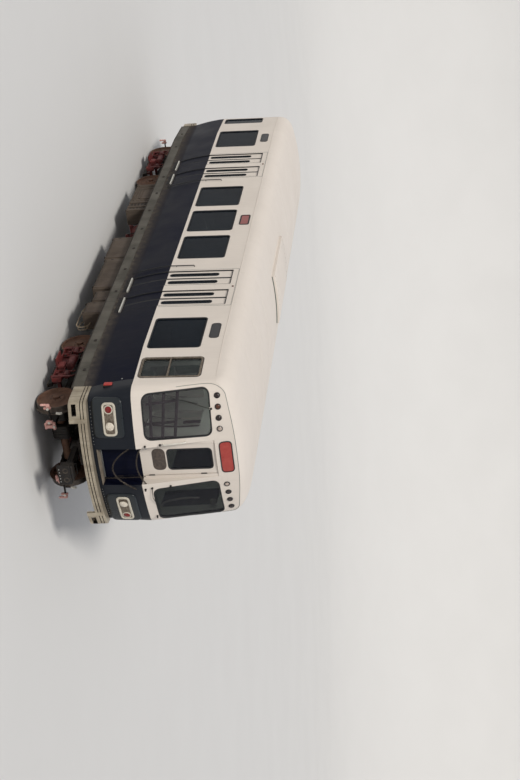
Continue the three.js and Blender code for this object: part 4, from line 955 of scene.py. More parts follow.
def windshields():
    for name, side in SIDES:
        outline = dense(rounded([(side * x, z) for x, z in WINDSHIELD], 0.13, 12))
        glass, seal, wiper = Piece(), Piece(), Piece()
        # The near windshield takes the paler glass, a painted reflection, and the far one the near-black glass, painted
        # shade.
        glass.pad(spread(outline, 0.02), [(0, -0.02)], front_surface, f"glass_laminated_{name}", rings=14, back=-0.028)
        glass.make(f"{name}_windshield_glass", "window_glass", [f"{name}_windshield"])
        seal.moulding(outline, [(-0.013, -0.024), (-0.013, -0.008), (-0.006, 0.005), (0.005, 0.006), (0.011, 0.002),
                                (0.011, -0.006), (0.001, -0.024)], front_surface, RUBBER)
        seal.make(f"{name}_windshield_gasket", "window_glass")
        (px, pz), elbow, tip, (low, high) = WIPERS[name]
        pivot, out = footing(front_surface, px, pz)
        wiper.lathe([(0.02, -0.004), (0.02, 0.016), (0.013, 0.024), (0.0, 0.025)], pivot, out, CAST, 16)
        wiper.block((px - 0.028, pivot.y - 0.012, pz - 0.03), (px + 0.028, pivot.y + 0.012, pz + 0.004), WHITE, 0.006)
        wiper.tube([pivot + out * 0.018, lifted(front_surface, *elbow, 0.042), lifted(front_surface, *tip, 0.016)],
                   0.006, CAST, 8)
        wiper.tube([lifted(front_surface, mix(low[0], high[0], u), mix(low[1], high[1], u), 0.004)
                    for u in steps(0, 1, 6)], 0.007, RUBBER, 8)
        wiper.make(f"{name}_wiper", "frame_steel")


# Front fittings

# The joint between mask and dome where it turns down round the mask's corner, in x and z
CORNER_JOINT = [(1.29, 2.64), (1.292, 2.85), (1.291, 3.03), (1.288, 3.14), (1.281, 3.215), (1.267, 3.276),
                (1.245, 3.328), (1.215, 3.372), (1.18, 3.408)]


# Marker lights over the windshields: distance from the centre, and the near and the far one's glass
MARKERS = [(0.551, "marker", "marker"), (0.738, "dark", "dark"), (0.925, "amber", "dark"), (1.107, "dark", "dark")]


def front_signs():
    piece, lights, line = Piece(), Piece(), Piece()
    outline = dense(rounded_box(-0.306, 0.29, 3.267, 3.472, 0.075))
    piece.pad(outline, [(0, 0.001), (0.004, 0.003)], front_surface, "acrylic_moulded_red", rings=6)
    piece.moulding(outline, [(-0.009, 0.001), (-0.008, 0.008), (0.003, 0.01), (0.009, 0.005), (0.01, -0.004)],
                   front_surface, RUBBER)
    piece.make("front_sign", "red_paint")
    for k, (_, side) in enumerate(SIDES):
        for x, *glass in MARKERS:
            place = footing(front_surface, side * x, 3.307)
            lights.lathe([(0.052, -0.006), (0.052, 0.006), (0.046, 0.014), (0.04, 0.014), (0.037, 0.006),
                          (0.037, -0.006)], *place, RUBBER, 28, loop=True)
            lights.lathe([(0.04, -0.004), (0.038, 0.006), (0.028, 0.014), (0.014, 0.018), (0.0, 0.019)], *place,
                         f"glass_pressed_{glass[k]}", 28)
    lights.make("front_marker_lights", "window_glass")
    brow_line = [front_surface(x, z) for x, z in CORNER_JOINT] + [end_point(t, brow(t)) for t in steps(4.15, 8, 24)]
    line.tube(both_sides(brow_line), 0.0045, REVEAL, 8)
    line.make("front_brow_joint", "frame_steel")


# Head and tail lamp: distance from the centre, profile of the rim, its finish, radius of the glass and its finish
LAMPS = [
    (0.77, [(0.092, 0.0), (0.088, 0.014), (0.076, 0.016), (0.072, 0.0)], SPUN, 0.074, "glass_pressed_clear"),
    (1.048, [(0.078, 0.0), (0.076, 0.014), (0.06, 0.016), (0.056, 0.0)], CREAM, 0.058, "glass_pressed_ruby"),
]


def lamps():
    surface = lambda x, z: lifted(front_surface, x, z, LAMP_PANEL_LIFT)
    for name, side in SIDES:
        piece = Piece()
        outline = dense(rounded_box(*sorted((side * 0.615, side * 1.152)), 1.403, 1.622, 0.075, 10))
        piece.moulding(outline, [(-0.03, -0.002), (-0.028, 0.014), (-0.016, 0.019), (0.0, 0.018), (0.008, 0.01),
                                 (0.01, -0.004)], surface, CREAM)
        piece.pad(spread(outline, -0.024), [(0, 0.004), (0.003, 0.005)], surface, SPUN, rings=5)
        for x, rim, rim_finish, r, glass in LAMPS:
            place = footing(surface, side * x, 1.511)
            piece.lathe(rim, *place, rim_finish, 36, loop=True)
            piece.lathe([(r, 0.0), (r, 0.01), (0.8 * r, 0.018), (0.5 * r, 0.024), (0.2 * r, 0.027), (0.0, 0.0275)],
                        *place, glass, 36)
        for k in range(12):
            piece.lathe([(0.008, -0.002), (0.007, 0.003), (0.0, 0.005)],
                        lifted(front_surface, side * (0.45 + 0.058 * k), 1.19), (0, -1, 0), TRIM, 8)
        piece.make(f"{name}_lamp_group", "white_paint")


def chain(piece, path, link=0.046, wire=0.0045):
    """Links of bent wire along a path, every second one turned on its side."""
    path = [Vector(p) for p in path]
    lengths = [0.0]
    for a, b in zip(path, path[1:]):
        lengths.append(lengths[-1] + (b - a).length)
    count = int(lengths[-1] / (link * 0.62))
    half, turn = link * 0.26, link * 0.24
    for n in range(count):
        s = lengths[-1] * (n + 0.5) / count
        i = max(k for k in range(len(path) - 1) if lengths[k] <= s)
        centre = path[i].lerp(path[i + 1], (s - lengths[i]) / (lengths[i + 1] - lengths[i]))
        along = (path[i + 1] - path[i]).normalized()
        side = along.orthogonal().normalized()
        if n % 2:
            side = along.cross(side)
        piece.tube([centre + along * (math.copysign(half, math.cos(a)) + turn * math.cos(a)) + side * turn * math.sin(a)
                    for a in angles(10)], wire, "steel_galvanised_chain", 5, loop=True)


def sag(a, b, drop):
    """A hanging line between two points."""
    return [Vector(a).lerp(Vector(b), u) - Vector((0, 0, 4 * drop * u * (1 - u))) for u in steps(0, 1, 16)]


def front_hardware():
    piece, holds, marker = Piece(), Piece(), Piece()
    chain(piece, sag((-0.352, -7.15, 1.965), (0.352, -7.15, 1.965), 0.11))
    chain(piece, sag((-0.352, -7.165, 1.76), (0.43, -7.19, 1.79), 0.33))
    chain(piece, [(0.318, -6.985, 1.93), (0.318, -6.985, 1.2)])
    for side, y, z in ((-1, -7.15, 1.965), (1, -7.15, 1.965), (-1, -7.165, 1.76)):
        piece.tube([(side * x, y, z + up) for x, up in
                    ((0.368, 0.012), (0.344, 0.01), (0.344, -0.012), (0.368, -0.014))], 0.006, CAST, 8)
    piece.make("front_safety_chains", "coupler_steel")
    holds.tube([lifted(front_surface, -0.392, z, lift) for z, lift in
                ((2.35, -0.004), (2.355, 0.03), (2.375, 0.045), (2.705, 0.045), (2.725, 0.03), (2.73, -0.004))], 0.015,
               WHITE, 12)
    for x, z in ((-0.388, 2.3), (-0.39, 2.05), (0.449, 2.368), (0.463, 1.944), (1.146, 2.025)):
        holds.lathe([(0.018, -0.004), (0.018, 0.012), (0.009, 0.016), (0.009, 0.034), (0.016, 0.04), (0.0, 0.044)],
                    *footing(front_surface, x, z), CAST, 14)
    holds.make("front_hand_holds", "white_paint")
    for _, side in SIDES:
        x = side * (half_width(1.5) - taper(FRONT_JOINT))
        marker.block((x - side * 0.03, -6.68, 1.385), (x + side * 0.012, -6.575, 1.55), CAST, 0.006)
        marker.block((x + side * 0.006, -6.672, 1.395), (x + side * 0.036, -6.583, 1.54), "enamel_sprayed_signal",
                     0.014)
        marker.lathe([(0.014, -0.004), (0.014, 0.01), (0.0, 0.014)], lifted(side_surface(side), -6.496, 1.687),
                     (side, 0, 0), TRIM, 12)
    marker.make("front_corner_markers", "red_paint")


def end_beam(name, end):
    plan = dict(face=face_y, joint=FRONT_JOINT) if end < 0 else dict(face=rear_face_y, joint=REAR_JOINT)
    piece, aprons, tool = Piece(), Piece(), Piece()

    def station(t, side, depth, forward, z):
        p = end_point(t, TREAD, depth, forward, **plan)
        return Vector((side * p.x, -end * (p.y - 0.0003), z))

    deep, proud = -0.012, 0.004
    profile = [(1.0, -0.009), (1.003, deep)]
    for z in (1.046, 1.096):
        profile += [(z, deep), (z + 0.005, proud), (z + 0.009, proud), (z + 0.014, deep)]
    profile += [(1.152, deep), (1.155, -0.009)]
    # The grooves between the ribs take the dark grimy steel: painted shade in the grooves, with their grime.
    piece.skin([[station(t, side, depth, 0.14, z) for z, depth in profile]
                + [station(t, side, WALL, 0.0, z) for z in (1.155, 1.0)]
                for t, side in [(t, -1) for t in PLAN] + [(t, 1) for t in PLAN[:-1][::-1]]], BARE,
               bands=[WELDED if max(a[1], b[1]) > 0 else BARE for a, b in zip(profile, profile[1:])] + [BARE] * 3)
    for side in (-1, 1):
        aprons.skin([[station(t, side, depth, 0.14, z) for depth, z in
                      ((-0.006, APRON), (deep, APRON + 0.008), (deep, 1.004), (0.028, 1.004), (0.028, APRON))]
                     for t in [t for t in PLAN if t < 4.8] + [4.88]], BARE)
    if end < 0:
        for side in (-1, 1):
            tool.block((side * 1.02, -7.5, 0.905), (side * 1.205, -6.9, 0.985), WELDED)
        aprons.carve(tool)
    base = len(piece.points)
    piece.points += aprons.points
    piece.faces += [[base + i for i in face] for face in aprons.faces]
    piece.marks += [piece.mark(aprons.finishes[mark]) for mark in aprons.marks]
    for side in (-1, 1):
        p = station(4.85, side, deep, 0.14, 0)
        piece.block((p.x - 0.035, p.y + end * 0.01, APRON), (p.x + 0.035, p.y - end * 0.02, 1.15), BARE, 0.005)
    piece.make(f"{name}_end_beam_ribbed", "bare_aluminium", [f"{name}_end_beam"], sharp=28)


# Doors

def door_leaf(name, side, edge, way, number):
    body = f"{name}_leaf_{number}"
    start = edge + way * LEAF_GAP
    seam = start + way * LEAF_WIDTH
    y0, y1 = sorted((start, seam))
    middle, top = (y0 + y1) / 2, DOOR_TOP - DOOR_GAP
    levels = [TREAD + DOOR_GAP, *steps(TREAD, BELT, 10)[1:], top]
    surface = side_surface(side, LEAF_INSET)
    grid = lambda depth: [[side_surface(side, LEAF_INSET + depth)(y, z) for z in levels] for y in (y0, y1)]
    piece, tool = Piece(), Piece()
    piece.plate(grid(0), grid(LEAF_THICK), BODY_PAINT, LINING, BODY_PAINT)
    half, low, high, radius = LEAF_WINDOW
    outline = rounded_box(middle - half, middle + half, low, high, radius, 7)
    tool.prism(outline, "x", side * 1.2, side * 1.5, RUBBER, 0.0005)
    piece.carve(tool)
    piece.moulding(outline, [(-0.007, -0.012), (-0.006, 0.001), (0.0, 0.004), (0.007, 0.003), (0.009, -0.002),
                             (0.001, -0.012)], surface, RUBBER)
    piece.pad(spread(outline, 0.001), [(0, -0.011)], surface, TINTED, rings=2, back=-0.019)
    piece.skin([[Vector((side * (half_width(z) - LEAF_INSET + dx), seam + way * dy, z)) for dy, dx in
                 ((0.0, -0.002), (0.02, -0.002), (0.028, -0.008), (0.028, -0.022), (0.02, -0.028), (0.0, -0.028))]
                for z in levels], RUBBER)
    pivot_x, pivot_in, pin = LEAF_PIVOT
    pivot_y = start + way * pivot_in
    piece.block((side * (pivot_x - pin), pivot_y - pin, top - 0.03), (side * 1.36, pivot_y + pin, top), CAST, 0.003)
    for z0, z1 in ((top - 0.03, DOOR_TOP - 0.0003), (TREAD + 0.0003, TREAD + 0.04)):
        piece.tube([(side * pivot_x, pivot_y, z0), (side * pivot_x, pivot_y, z1)], pin, CAST, 12)
    piece.make(f"{body}_panel", "white_paint", [body], body)


def storm_door(name, end):
    body = f"{name}_storm_door"
    inner = end * (STORM_FRONT if end < 0 else STORM_REAR)
    face = inner + end * STORM_THICK
    surface = lambda x, z: Vector((x, face, z))
    piece, tool = Piece(), Piece()
    piece.block((-STORM_HALF, inner, TREAD + DOOR_GAP), (STORM_HALF, face, STORM_TOP), BODY_PAINT, 0.006)
    lining = piece.mark(LINING)
    for k, corners in enumerate(piece.faces):
        if all(abs(piece.points[i][1] - inner) < 1e-5 for i in corners):
            piece.marks[k] = lining
    outline = rounded_box(*STORM_WINDOW, 10)
    tool.prism(outline, "y", inner - 0.1, inner + 0.1, RUBBER, 0.0005)
    piece.carve(tool)
    piece.moulding(outline, [(-0.014, -0.016), (-0.012, 0.0), (-0.004, 0.006), (0.008, 0.006), (0.014, -0.002),
                             (0.001, -0.016)], surface, RUBBER)
    # The end door's pane takes the near-black glass: painted shade.
    piece.pad(spread(outline, 0.001), [(0, -0.016)], surface, "glass_laminated_far", back=-0.024)
    if end < 0:
        brown = "phenolic_moulded_brown"
        piece.pad(rounded_box(-0.225, 0.205, 2.095, 2.325, 0.112, 10), [(0, 0.001), (0.004, 0.004)], surface, brown)
        for x in (-0.1, 0.08):
            piece.pad(circle(x, 2.21, 0.062), [(0, 0.004), (0.005, 0.007)], surface, brown, back=0.001)
    piece.pad(rounded_box(-0.255, 0.255, 1.24, 1.62, 0.02, 4), [(0, 0.001), (0.002, 0.0025)], surface, BODY_PAINT)
    for z in (1.5, 2.05, 2.95):
        piece.tube([(STORM_HALF - 0.006, face + end * 0.006, z + up) for up in (-0.05, 0.05)], 0.009, CAST, 10)
    piece.lathe([(0.022, -0.003), (0.022, 0.008), (0.01, 0.012), (0.01, 0.03), (0.018, 0.036), (0.0, 0.04)],
                (-0.255, face, 2.02), (0, end, 0), TRIM, 16)
    piece.tube([(STORM_HALF, inner, TREAD + 0.0003), (STORM_HALF, inner, STORM_TOP)], 0.012, CAST, 12)
    piece.make(f"{body}_panel", "white_paint", [body], body)


# Under the floor

# Boxes under the floor: start and end along the car, underside and number of doors, none for the resistor case
EQUIPMENT = {
    "near": [(-1.21, -0.17, 0.335, 1), (-2.6, -1.24, 0.365, 1), (-3.18, -2.74, 0.47, 1),
             (-3.7, -3.22, 0.39, 1), (1.29, 2.795, 0.33, 0)],
    "far": [(-2.6, -1.5, 0.35, 2), (-1.45, 0.45, 0.36, 3), (0.75, 1.45, 0.42, 1), (1.5, 2.9, 0.335, 2),
            (-3.4, -2.76, 0.46, 1)],
}


def resistor_case(piece, side, y0, z):
    """The front of the case for the resistors: a framed panel and, ahead of it, posts with air slots between them."""
    wall = lambda y, z: Vector((side * 1.205, y, z))

    def block(a, b, low, high, proud, finish, bevel=0.004):
        piece.block((side * 1.2, y0 + a, low), (side * proud, y0 + b, high), finish, bevel)

    for inset in (0.0, 0.115):
        outline = rounded_box(y0 + 0.57 + inset, y0 + 1.4 - inset, z + 0.07 + inset, 0.96 - inset, 0.06, 6)
        piece.moulding(outline, [(-0.02, -0.004), (-0.016, 0.018), (0.012, 0.018), (0.018, -0.004)], wall, BOX)
    for a, b in ((0.0, 0.09), (0.19, 0.26), (0.43, 0.53), (1.44, 1.505)):
        block(a, b, z + 0.01, 1.0, 1.224, BOX)
    block(0.0, 1.505, 1.0, 1.07, 1.228, BOX)
    for a, b in ((0.1, 0.18), (0.28, 0.42)):
        for k in range(8):
            low = z + 0.06 + 0.075 * k
            block(a, b, low, low + 0.045, 1.212, WELDED, 0.003)


def equipment_row(name, side):
    rows = EQUIPMENT[name]
    piece = Piece()

    def block(x0, x1, y0, y1, z0, z1, finish=WELDED, bevel=0.004):
        piece.block((side * x0, y0, z0), (side * x1, y1, z1), finish, bevel)

    for x in (0.96, 1.04):
        block(x, x + 0.02, min(r[0] for r in rows) + 0.05, max(r[1] for r in rows) - 0.05, 1.06, UNDER_FLOOR)
    for y0, y1, z, doors in rows:
        block(0.87, 1.205, y0, y1, z, 1.09, BOX, 0.012)
        if not doors:
            resistor_case(piece, side, y0, z)
        for k in range(doors):
            a, b = mix(y0, y1, k / doors) + 0.018, mix(y0, y1, (k + 1) / doors) - 0.018
            piece.prism(rounded_box(a, b, z + 0.03, 1.05, 0.02, 4), "x", side * 1.2, side * 1.219, BOX, 0.004)
            for hinge in (z + 0.16, 0.93):
                block(1.214, 1.225, b - 0.05, b - 0.03, hinge - 0.025, hinge + 0.025, CAST, 0.002)
            piece.tube([(side * 1.216, y, z + 0.05) for y in (a + 0.05, b - 0.07)], 0.006, CAST, 6)
        for y in (y0 + 0.07, y1 - 0.07):
            block(0.94, 1.1, y - 0.025, y + 0.025, 1.07, 1.115)
            block(0.86, 1.212, y - 0.02, y + 0.02, z - 0.01, z + 0.012)
    piece.make(f"{name}_equipment_boxes", "box_paint", [f"{name}_equipment"])


def underfloor():
    dress("underframe", WELDED)
    dress("floor", "rubber_rolled_floor")
    piece = Piece()
    for x in (-0.62, -0.48, 0.5, 0.66):
        piece.tube([(x, -3.6, 1.035), (x, 3.6, 1.035)], 0.022, WELDED, 10)
    for y in (-2.2, -1.6, -1.0, -0.4, 0.2, 1.1, 1.7, 2.3):
        piece.block((-1.24, y - 0.02, 1.075), (1.24, y + 0.02, UNDER_FLOOR), WELDED, 0.003)
    # Two air tanks, each in two straps
    for x, y, z in ((0.45, -1.9, 0.8), (-0.5, 2.0, 0.82)):
        piece.lathe([(0.0, -0.62), (0.12, -0.58), (0.165, -0.5), (0.165, 0.5), (0.12, 0.58), (0.0, 0.62)], (x, y, z),
                    (0, 1, 0), WELDED, 28)
        for dy in (-0.35, 0.35):
            piece.tube([(x + dx, y + dy, top) for dx, top in
                        ((-0.172, 1.1), (-0.172, z), (-0.12, z - 0.125), (0, z - 0.172), (0.12, z - 0.125), (0.172, z),
                         (0.172, 1.1))], 0.01, CAST, 8)
    # The compressor's ribbed cylinder on its feet
    ribs = [(0.0, -0.36), (0.1, -0.35), (0.15, -0.32)]
    for y in (-0.3 + 0.06 * k for k in range(9)):
        ribs += [(0.155, y), (0.185, y + 0.005), (0.185, y + 0.02), (0.155, y + 0.025)]
    piece.lathe(ribs + [(0.15, 0.27), (0.1, 0.33), (0.0, 0.34)], (-0.93, 0.5, 0.72), (0, 1, 0), RED, 28)
    for y in (0.24, 0.74):
        piece.block((-1.1, y - 0.02, 0.5), (-0.76, y + 0.02, 0.58), RED)
        for x, way in ((-1.1, -1), (-0.76, 1)):
            piece.tube([(x, y, 0.54), (x + way * 0.02, y, 0.72), (x + way * 0.02, y, 1.1)], 0.012, CAST, 8)
    piece.block((-1.09, 0.26, 0.88), (-0.8, 0.7, 0.98), RED, 0.015)
    piece.make("underfloor_pipes", "frame_steel")


def coupler(name, end):
    piece = Piece()
    pivot, face = end * COUPLER_PIVOT, end * (COUPLER_END - 0.003)
    piece.lathe([(0.1, 0.6), (0.11, 0.61), (0.11, 0.745), (0.1, 0.7597)], (0, pivot, 0), (0, 0, 1), CAST, 32)
    piece.tube([(0, pivot, 0.56), (0, pivot, 0.62)], 0.035, CAST, 16)
    for half, y0, y1, z0, z1, bevel in (
        (0.065, COUPLER_PIVOT, 7.18, 0.62, 0.735, 0.014), (0.15, 7.15, 7.315, 0.57, 0.79, 0.02),
        (0.185, 7.295, COUPLER_END, 0.54, 0.76, 0.008),
    ):
        piece.block((-half, end * y0, z0), (half, end * y1, z1), CAST, bevel)
    for x in (-0.09, 0.09):
        piece.lathe([(0.052, 0.0), (0.052, 0.004), (0.03, 0.004), (0.026, -0.02)], (x, face, 0.68), (0, end, 0),
                    "steel_galvanised_chain", 24, loop=True)
    for x in (-0.12, -0.06, 0.0, 0.06, 0.12):
        piece.tube([(x, end * 7.3, 0.575), (x, end * 7.356, 0.575)], 0.011, TRIM, 10)
    for x in (-0.165, 0.165):
        for z in (0.57, 0.74):
            piece.lathe([(0.013, 0.0), (0.013, 0.004), (0.0, 0.004)], (x, face, z), (0, end, 0), CAST, 6)
    piece.tube([(x, end * y, z) for x, y, z in
                ((0.1, 7.16, 0.79), (0.1, 7.14, 0.82), (-0.1, 7.14, 0.82), (-0.1, 7.16, 0.79))], 0.009, CAST, 8)
    piece.make(f"{name}_coupler_head", "coupler_steel", [f"{name}_coupler"], f"{name}_coupler")


def bolts(piece, side, x, y, profile):
    """Six bolt heads round an axle's end."""
    for u, v in circle(y, AXLE_Z, 0.1, 6):
        piece.lathe(profile, (side * x, u, v), (side, 0, 0), CAST, 6)


def truck_frame(name, end):
    middle = end * TRUCK
    piece = Piece()

    def box(x0, x1, y, z0, z1, bevel, finish=WELDED):
        piece.block((x0, middle - y, z0), (x1, middle + y, z1), finish, bevel)

    box(-0.56, 0.56, 0.27, 0.33, 0.54, 0.01)
    box(-0.78, 0.78, 0.15, 0.64, 0.85, 0.02)
    piece.lathe([(0.2, 0.84), (0.2, 0.95), (0.19, 0.9597)], (0, middle, 0), (0, 0, 1), CAST, 32)
    for side in (-1, 1):
        box(side * 0.42, side * 0.56, 1.13, 0.3, 0.48, 0.015)
        for dy in (-0.06, 0.06):
            # A coil spring of three and a half turns
            piece.tube([(side * 0.49 + 0.038 * math.cos(a), middle + dy + 0.038 * math.sin(a), z)
                        for a, z in zip(steps(0, math.tau * 3.5, 56), steps(0.535, 0.645, 56))], 0.011, CAST, 8)
        box(side * 0.4, side * 0.58, 0.14, 0.52, 0.54, 0.004, CAST)
        box(side * 0.56, side * 0.6, 0.6, 0.36, 0.43, 0.006)
        for y in (middle - HALF_BASE, middle + HALF_BASE):
            outline = rounded_box(y - 0.15, y + 0.15, 0.25, 0.52, 0.06, 5)
            piece.prism(outline, "x", side * 0.42, side * 0.56, CAST, 0.008)
            bolts(piece, side, 0.558, y, [(0.014, 0.0), (0.014, 0.01), (0.0, 0.011)])
    # Gearboxes and the ribbed motors beside them
    motor = [(0.1, 0.25), (0.15, 0.262), (0.16, 0.28)]
    for y in (0.3 + 0.05 * k for k in range(9)):
        motor += [(0.16, y), (0.152, y + 0.008), (0.152, y + 0.02), (0.16, y + 0.028)]
    motor += [(0.16, 0.8), (0.15, 0.82), (0.1, 0.83)]
    for way in (-1, 1):
        x0, x1 = way * 0.06, way * 0.32
        gear_y = middle + way * 0.98
        outline = rounded_box(gear_y - 0.18, gear_y + 0.18, 0.22, 0.55, 0.1, 6)
        piece.prism(outline, "x", x0, x1, CAST, 0.012)
        for share in (0.15 + 0.2 * k for k in range(4)):
            piece.prism(spread(outline, 0.006), "x", mix(x0, x1, share), mix(x0, x1, share + 0.04), CAST, 0.002)
        piece.lathe(motor, (way * 0.19, middle, 0.47), (0, way, 0), WELDED, 28)
        piece.block((way * 0.13, middle + way * 0.36, 0.6), (way * 0.25, middle + way * 0.56, 0.645), WELDED, 0.01)
    piece.make(f"{name}_truck_bogie", "frame_steel", [f"{name}_truck_frame"], f"{name}_truck")


# The levers ahead of the wheels, painted pale pink as red brake gear looks in full sun: painted highlight. Ranges in x,
# y towards the car's end, and z
SUNLIT_LEVERS = [
    (0.46, 0.6, 1.44, 1.5, 0.375, 0.43), (0.5, 0.56, 1.45, 1.52, 0.25, 0.4), (0.58, 0.64, 1.44, 1.5, 0.27, 0.39),
    (0.47, 0.6, 1.45, 1.5, 0.235, 0.28), (0.86, 0.9, 1.43, 1.49, 0.27, 0.4), (0.9, 0.96, 1.44, 1.5, 0.32, 0.385),
    (0.93, 0.965, 1.44, 1.49, 0.22, 0.33),
]


def brake_gear(name, end):
    middle = end * TRUCK
    piece = Piece()
    for way in (-1, 1):
        piece.block((-0.96, middle + way * 0.3, 0.235), (0.96, middle + way * 0.36, 0.2997), RED, 0.006)
    for side in (-1, 1):
        at = lambda x, y, z: (side * x, middle + y, z)

        def box(x0, x1, y0, y1, z0, z1, finish=RED, bevel=0.006):
            piece.block(at(x0, y0, z0), at(x1, y1, z1), finish, bevel)

        for x1, z0, z1 in ((0.912, 0.225, 0.4), (0.98, 0.225, 0.24), (0.98, 0.385, 0.4)):
            box(0.9, x1, -0.6, 0.6, z0, z1)
        for y in (-0.59, -0.3, 0.0, 0.3, 0.578):
            box(0.905, 0.975, y, y + 0.012, 0.235, 0.39)
        box(0.97, 1.13, -0.17, 0.17, 0.228, 0.25)
        for y in (-0.15, 0.15):
            box(0.975, 1.12, y - 0.008, y + 0.008, 0.21, 0.232)
        box(0.715, 0.785, -0.43, 0.43, 0.095, 0.165, CAST)
        for y in (-0.36, -0.12, 0.12, 0.36):
            box(0.718, 0.782, y - 0.09, y + 0.09, 0.075, 0.097, "steel_rolled_bright", 0.003)
        for way in (-1, 1):
            box(0.725, 0.775, way * 0.305, way * 0.355, 0.15, 0.25)
            piece.tube([at(0.945, way * 0.42, 0.31), at(0.945, way * 0.42, 0.47)], 0.022, RED, 12)
            piece.lathe([(0.048, -0.07), (0.055, -0.06), (0.055, 0.06), (0.048, 0.07)], at(0.945, way * 0.42, 0.46),
                        (0, 1, 0), RED, 20)
            box(0.93, 0.948, way * 0.255, way * 0.3, 0.25, 0.585)
            box(0.955, 0.985, way * 0.5, way * 0.545, 0.2, 0.56)
            piece.tube([at(x, way * y, z) for x, y, z in
                        ((0.97, 0.522, 0.56), (0.97, 0.5, 0.6), (0.94, 0.42, 0.62), (0.9, 0.38, 0.6))], 0.013, RED, 8)
            for z in (0.29, 0.43, 0.55):
                piece.lathe([(0.02, -0.01), (0.02, 0.016), (0.01, 0.02), (0.0, 0.021)], at(0.95, way * 0.278, z),
                            (side, 0, 0), CAST, 6)
        piece.lathe([(0.05, -0.2), (0.078, -0.185), (0.082, -0.165), (0.076, -0.16), (0.076, 0.1), (0.084, 0.105),
                     (0.084, 0.125), (0.06, 0.15), (0.02, 0.152), (0.016, 0.26)],
                    at(0.965, 0, 0.48), (0, 1, 0), RED, 24)
        piece.tube([at(0.95, -0.278, 0.55), at(0.95, 0.278, 0.565)], 0.012, CAST, 8)
        piece.tube([at(0.995 + 0.012 * math.sin(2 * a), 0.4 + 0.095 * math.cos(a), 0.5 + 0.095 * math.sin(a))
                    for a in angles(28)], 0.012, RED, 8, loop=True)
        box(0.93, 1.02, -0.23, -0.06, 0.25, 0.385, RED, 0.014)
        box(1.016, 1.026, -0.215, -0.075, 0.265, 0.37, RED, 0.004)
    for side in (-1, 1):
        at = lambda x, y, z: (side * x, middle + end * y, z)
        piece.tube([at(0.5, 1.12, 0.39), at(0.5, 1.3, 0.39), at(0.52, 1.43, 0.37), at(0.58, 1.46, 0.36),
                    at(0.95, 1.46, 0.35)], 0.018, CAST, 10)
        # Each lever takes the pale pink: painted highlight on red brake gear.
        for x0, x1, y0, y1, z0, z1 in SUNLIT_LEVERS:
            piece.block(at(x0, y0, z0), at(x1, y1, z1), "enamel_faded_pink", 0.014)
        # White caps among the levers: painted highlights, the glints of sun on the red brake gear.
        for x, z in ((0.53, 0.4), (0.61, 0.33), (0.88, 0.35)):
            piece.lathe([(0.024, 0.0), (0.024, 0.014), (0.012, 0.018), (0.0, 0.019)], at(x, 1.5, z), (0, end, 0),
                        WHITE, 8)
        piece.tube([at(0.76, 1.44, 0.47), at(0.76, 1.46, 0.545), at(0.76, 1.44, 0.56)], 0.022, WHITE, 12)
        piece.tube([at(0.76, 1.43, 0.36), at(0.76, 1.44, 0.5)], 0.01, CAST, 8)
    piece.make(f"{name}_truck_brake_beams", "red_paint", [f"{name}_truck_brake_gear"], f"{name}_truck")


# Half of a wheelset's profile, as radius and x, from the axle's end over hub, web, rim, tread and flange to its middle
WHEEL = [
    (0.0, 0.85), (0.05, 0.85), (0.062, 0.846), (0.062, 0.818), (0.1, 0.816), (0.128, 0.814), (0.14, 0.806),
    (0.15, 0.796), (0.18, 0.786), (0.235, 0.779), (0.285, 0.778), (0.303, 0.786), (0.312, 0.802), (0.318, 0.814),
    (0.322, 0.816), (0.345, 0.816), (0.3495, 0.813), (0.352, 0.806), (0.3555, 0.72), (0.358, 0.713), (0.368, 0.708),
    (0.377, 0.703), (0.3805, 0.696), (0.38, 0.69), (0.3745, 0.684), (0.368, 0.681), (0.322, 0.681), (0.312, 0.69),
    (0.303, 0.712), (0.285, 0.722), (0.2, 0.716), (0.14, 0.695), (0.112, 0.681), (0.1, 0.681), (0.09, 0.65),
    (0.072, 0.622), (0.07, 0.6), (0.07, 0.0),
]


def wheelset(name, end, place, way):
    y = end * TRUCK + way * end * HALF_BASE
    marks = ["steel_rolled_bright" if r > 0.34 and x > 0.682 else "steel_forged_rusty" for r, x in WHEEL]
    profile = WHEEL + [(r, -x) for r, x in WHEEL[:-1][::-1]]
    piece = Piece()
    piece.lathe(profile, (0, y, AXLE_Z), (1, 0, 0), marks[1:] + marks[:-1][::-1], 64)
    for side in (-1, 1):
        bolts(piece, side, 0.812, y, [(0.012, -0.002), (0.012, 0.01), (0.0, 0.011)])
    body = f"{name}_truck_{place}_wheelset"
    piece.make(f"{body}_turned", "wheel_steel", [body], body)


# Inside

# Dark bars inside the near windshield, standing in for a railing's reflection in the glass: painted reflection. From
# the side wall to the middle, top one first
RAILING_REFLECTION_BARS = [((-1.15, -6.672, 2.634), (-0.45, -6.98, 2.547)), ((-1.15, -6.694, 2.404), (-0.45, -7.0, 2.339)),
               ((-1.15, -6.8, 2.189), (-0.45, -7.0, 2.145))]


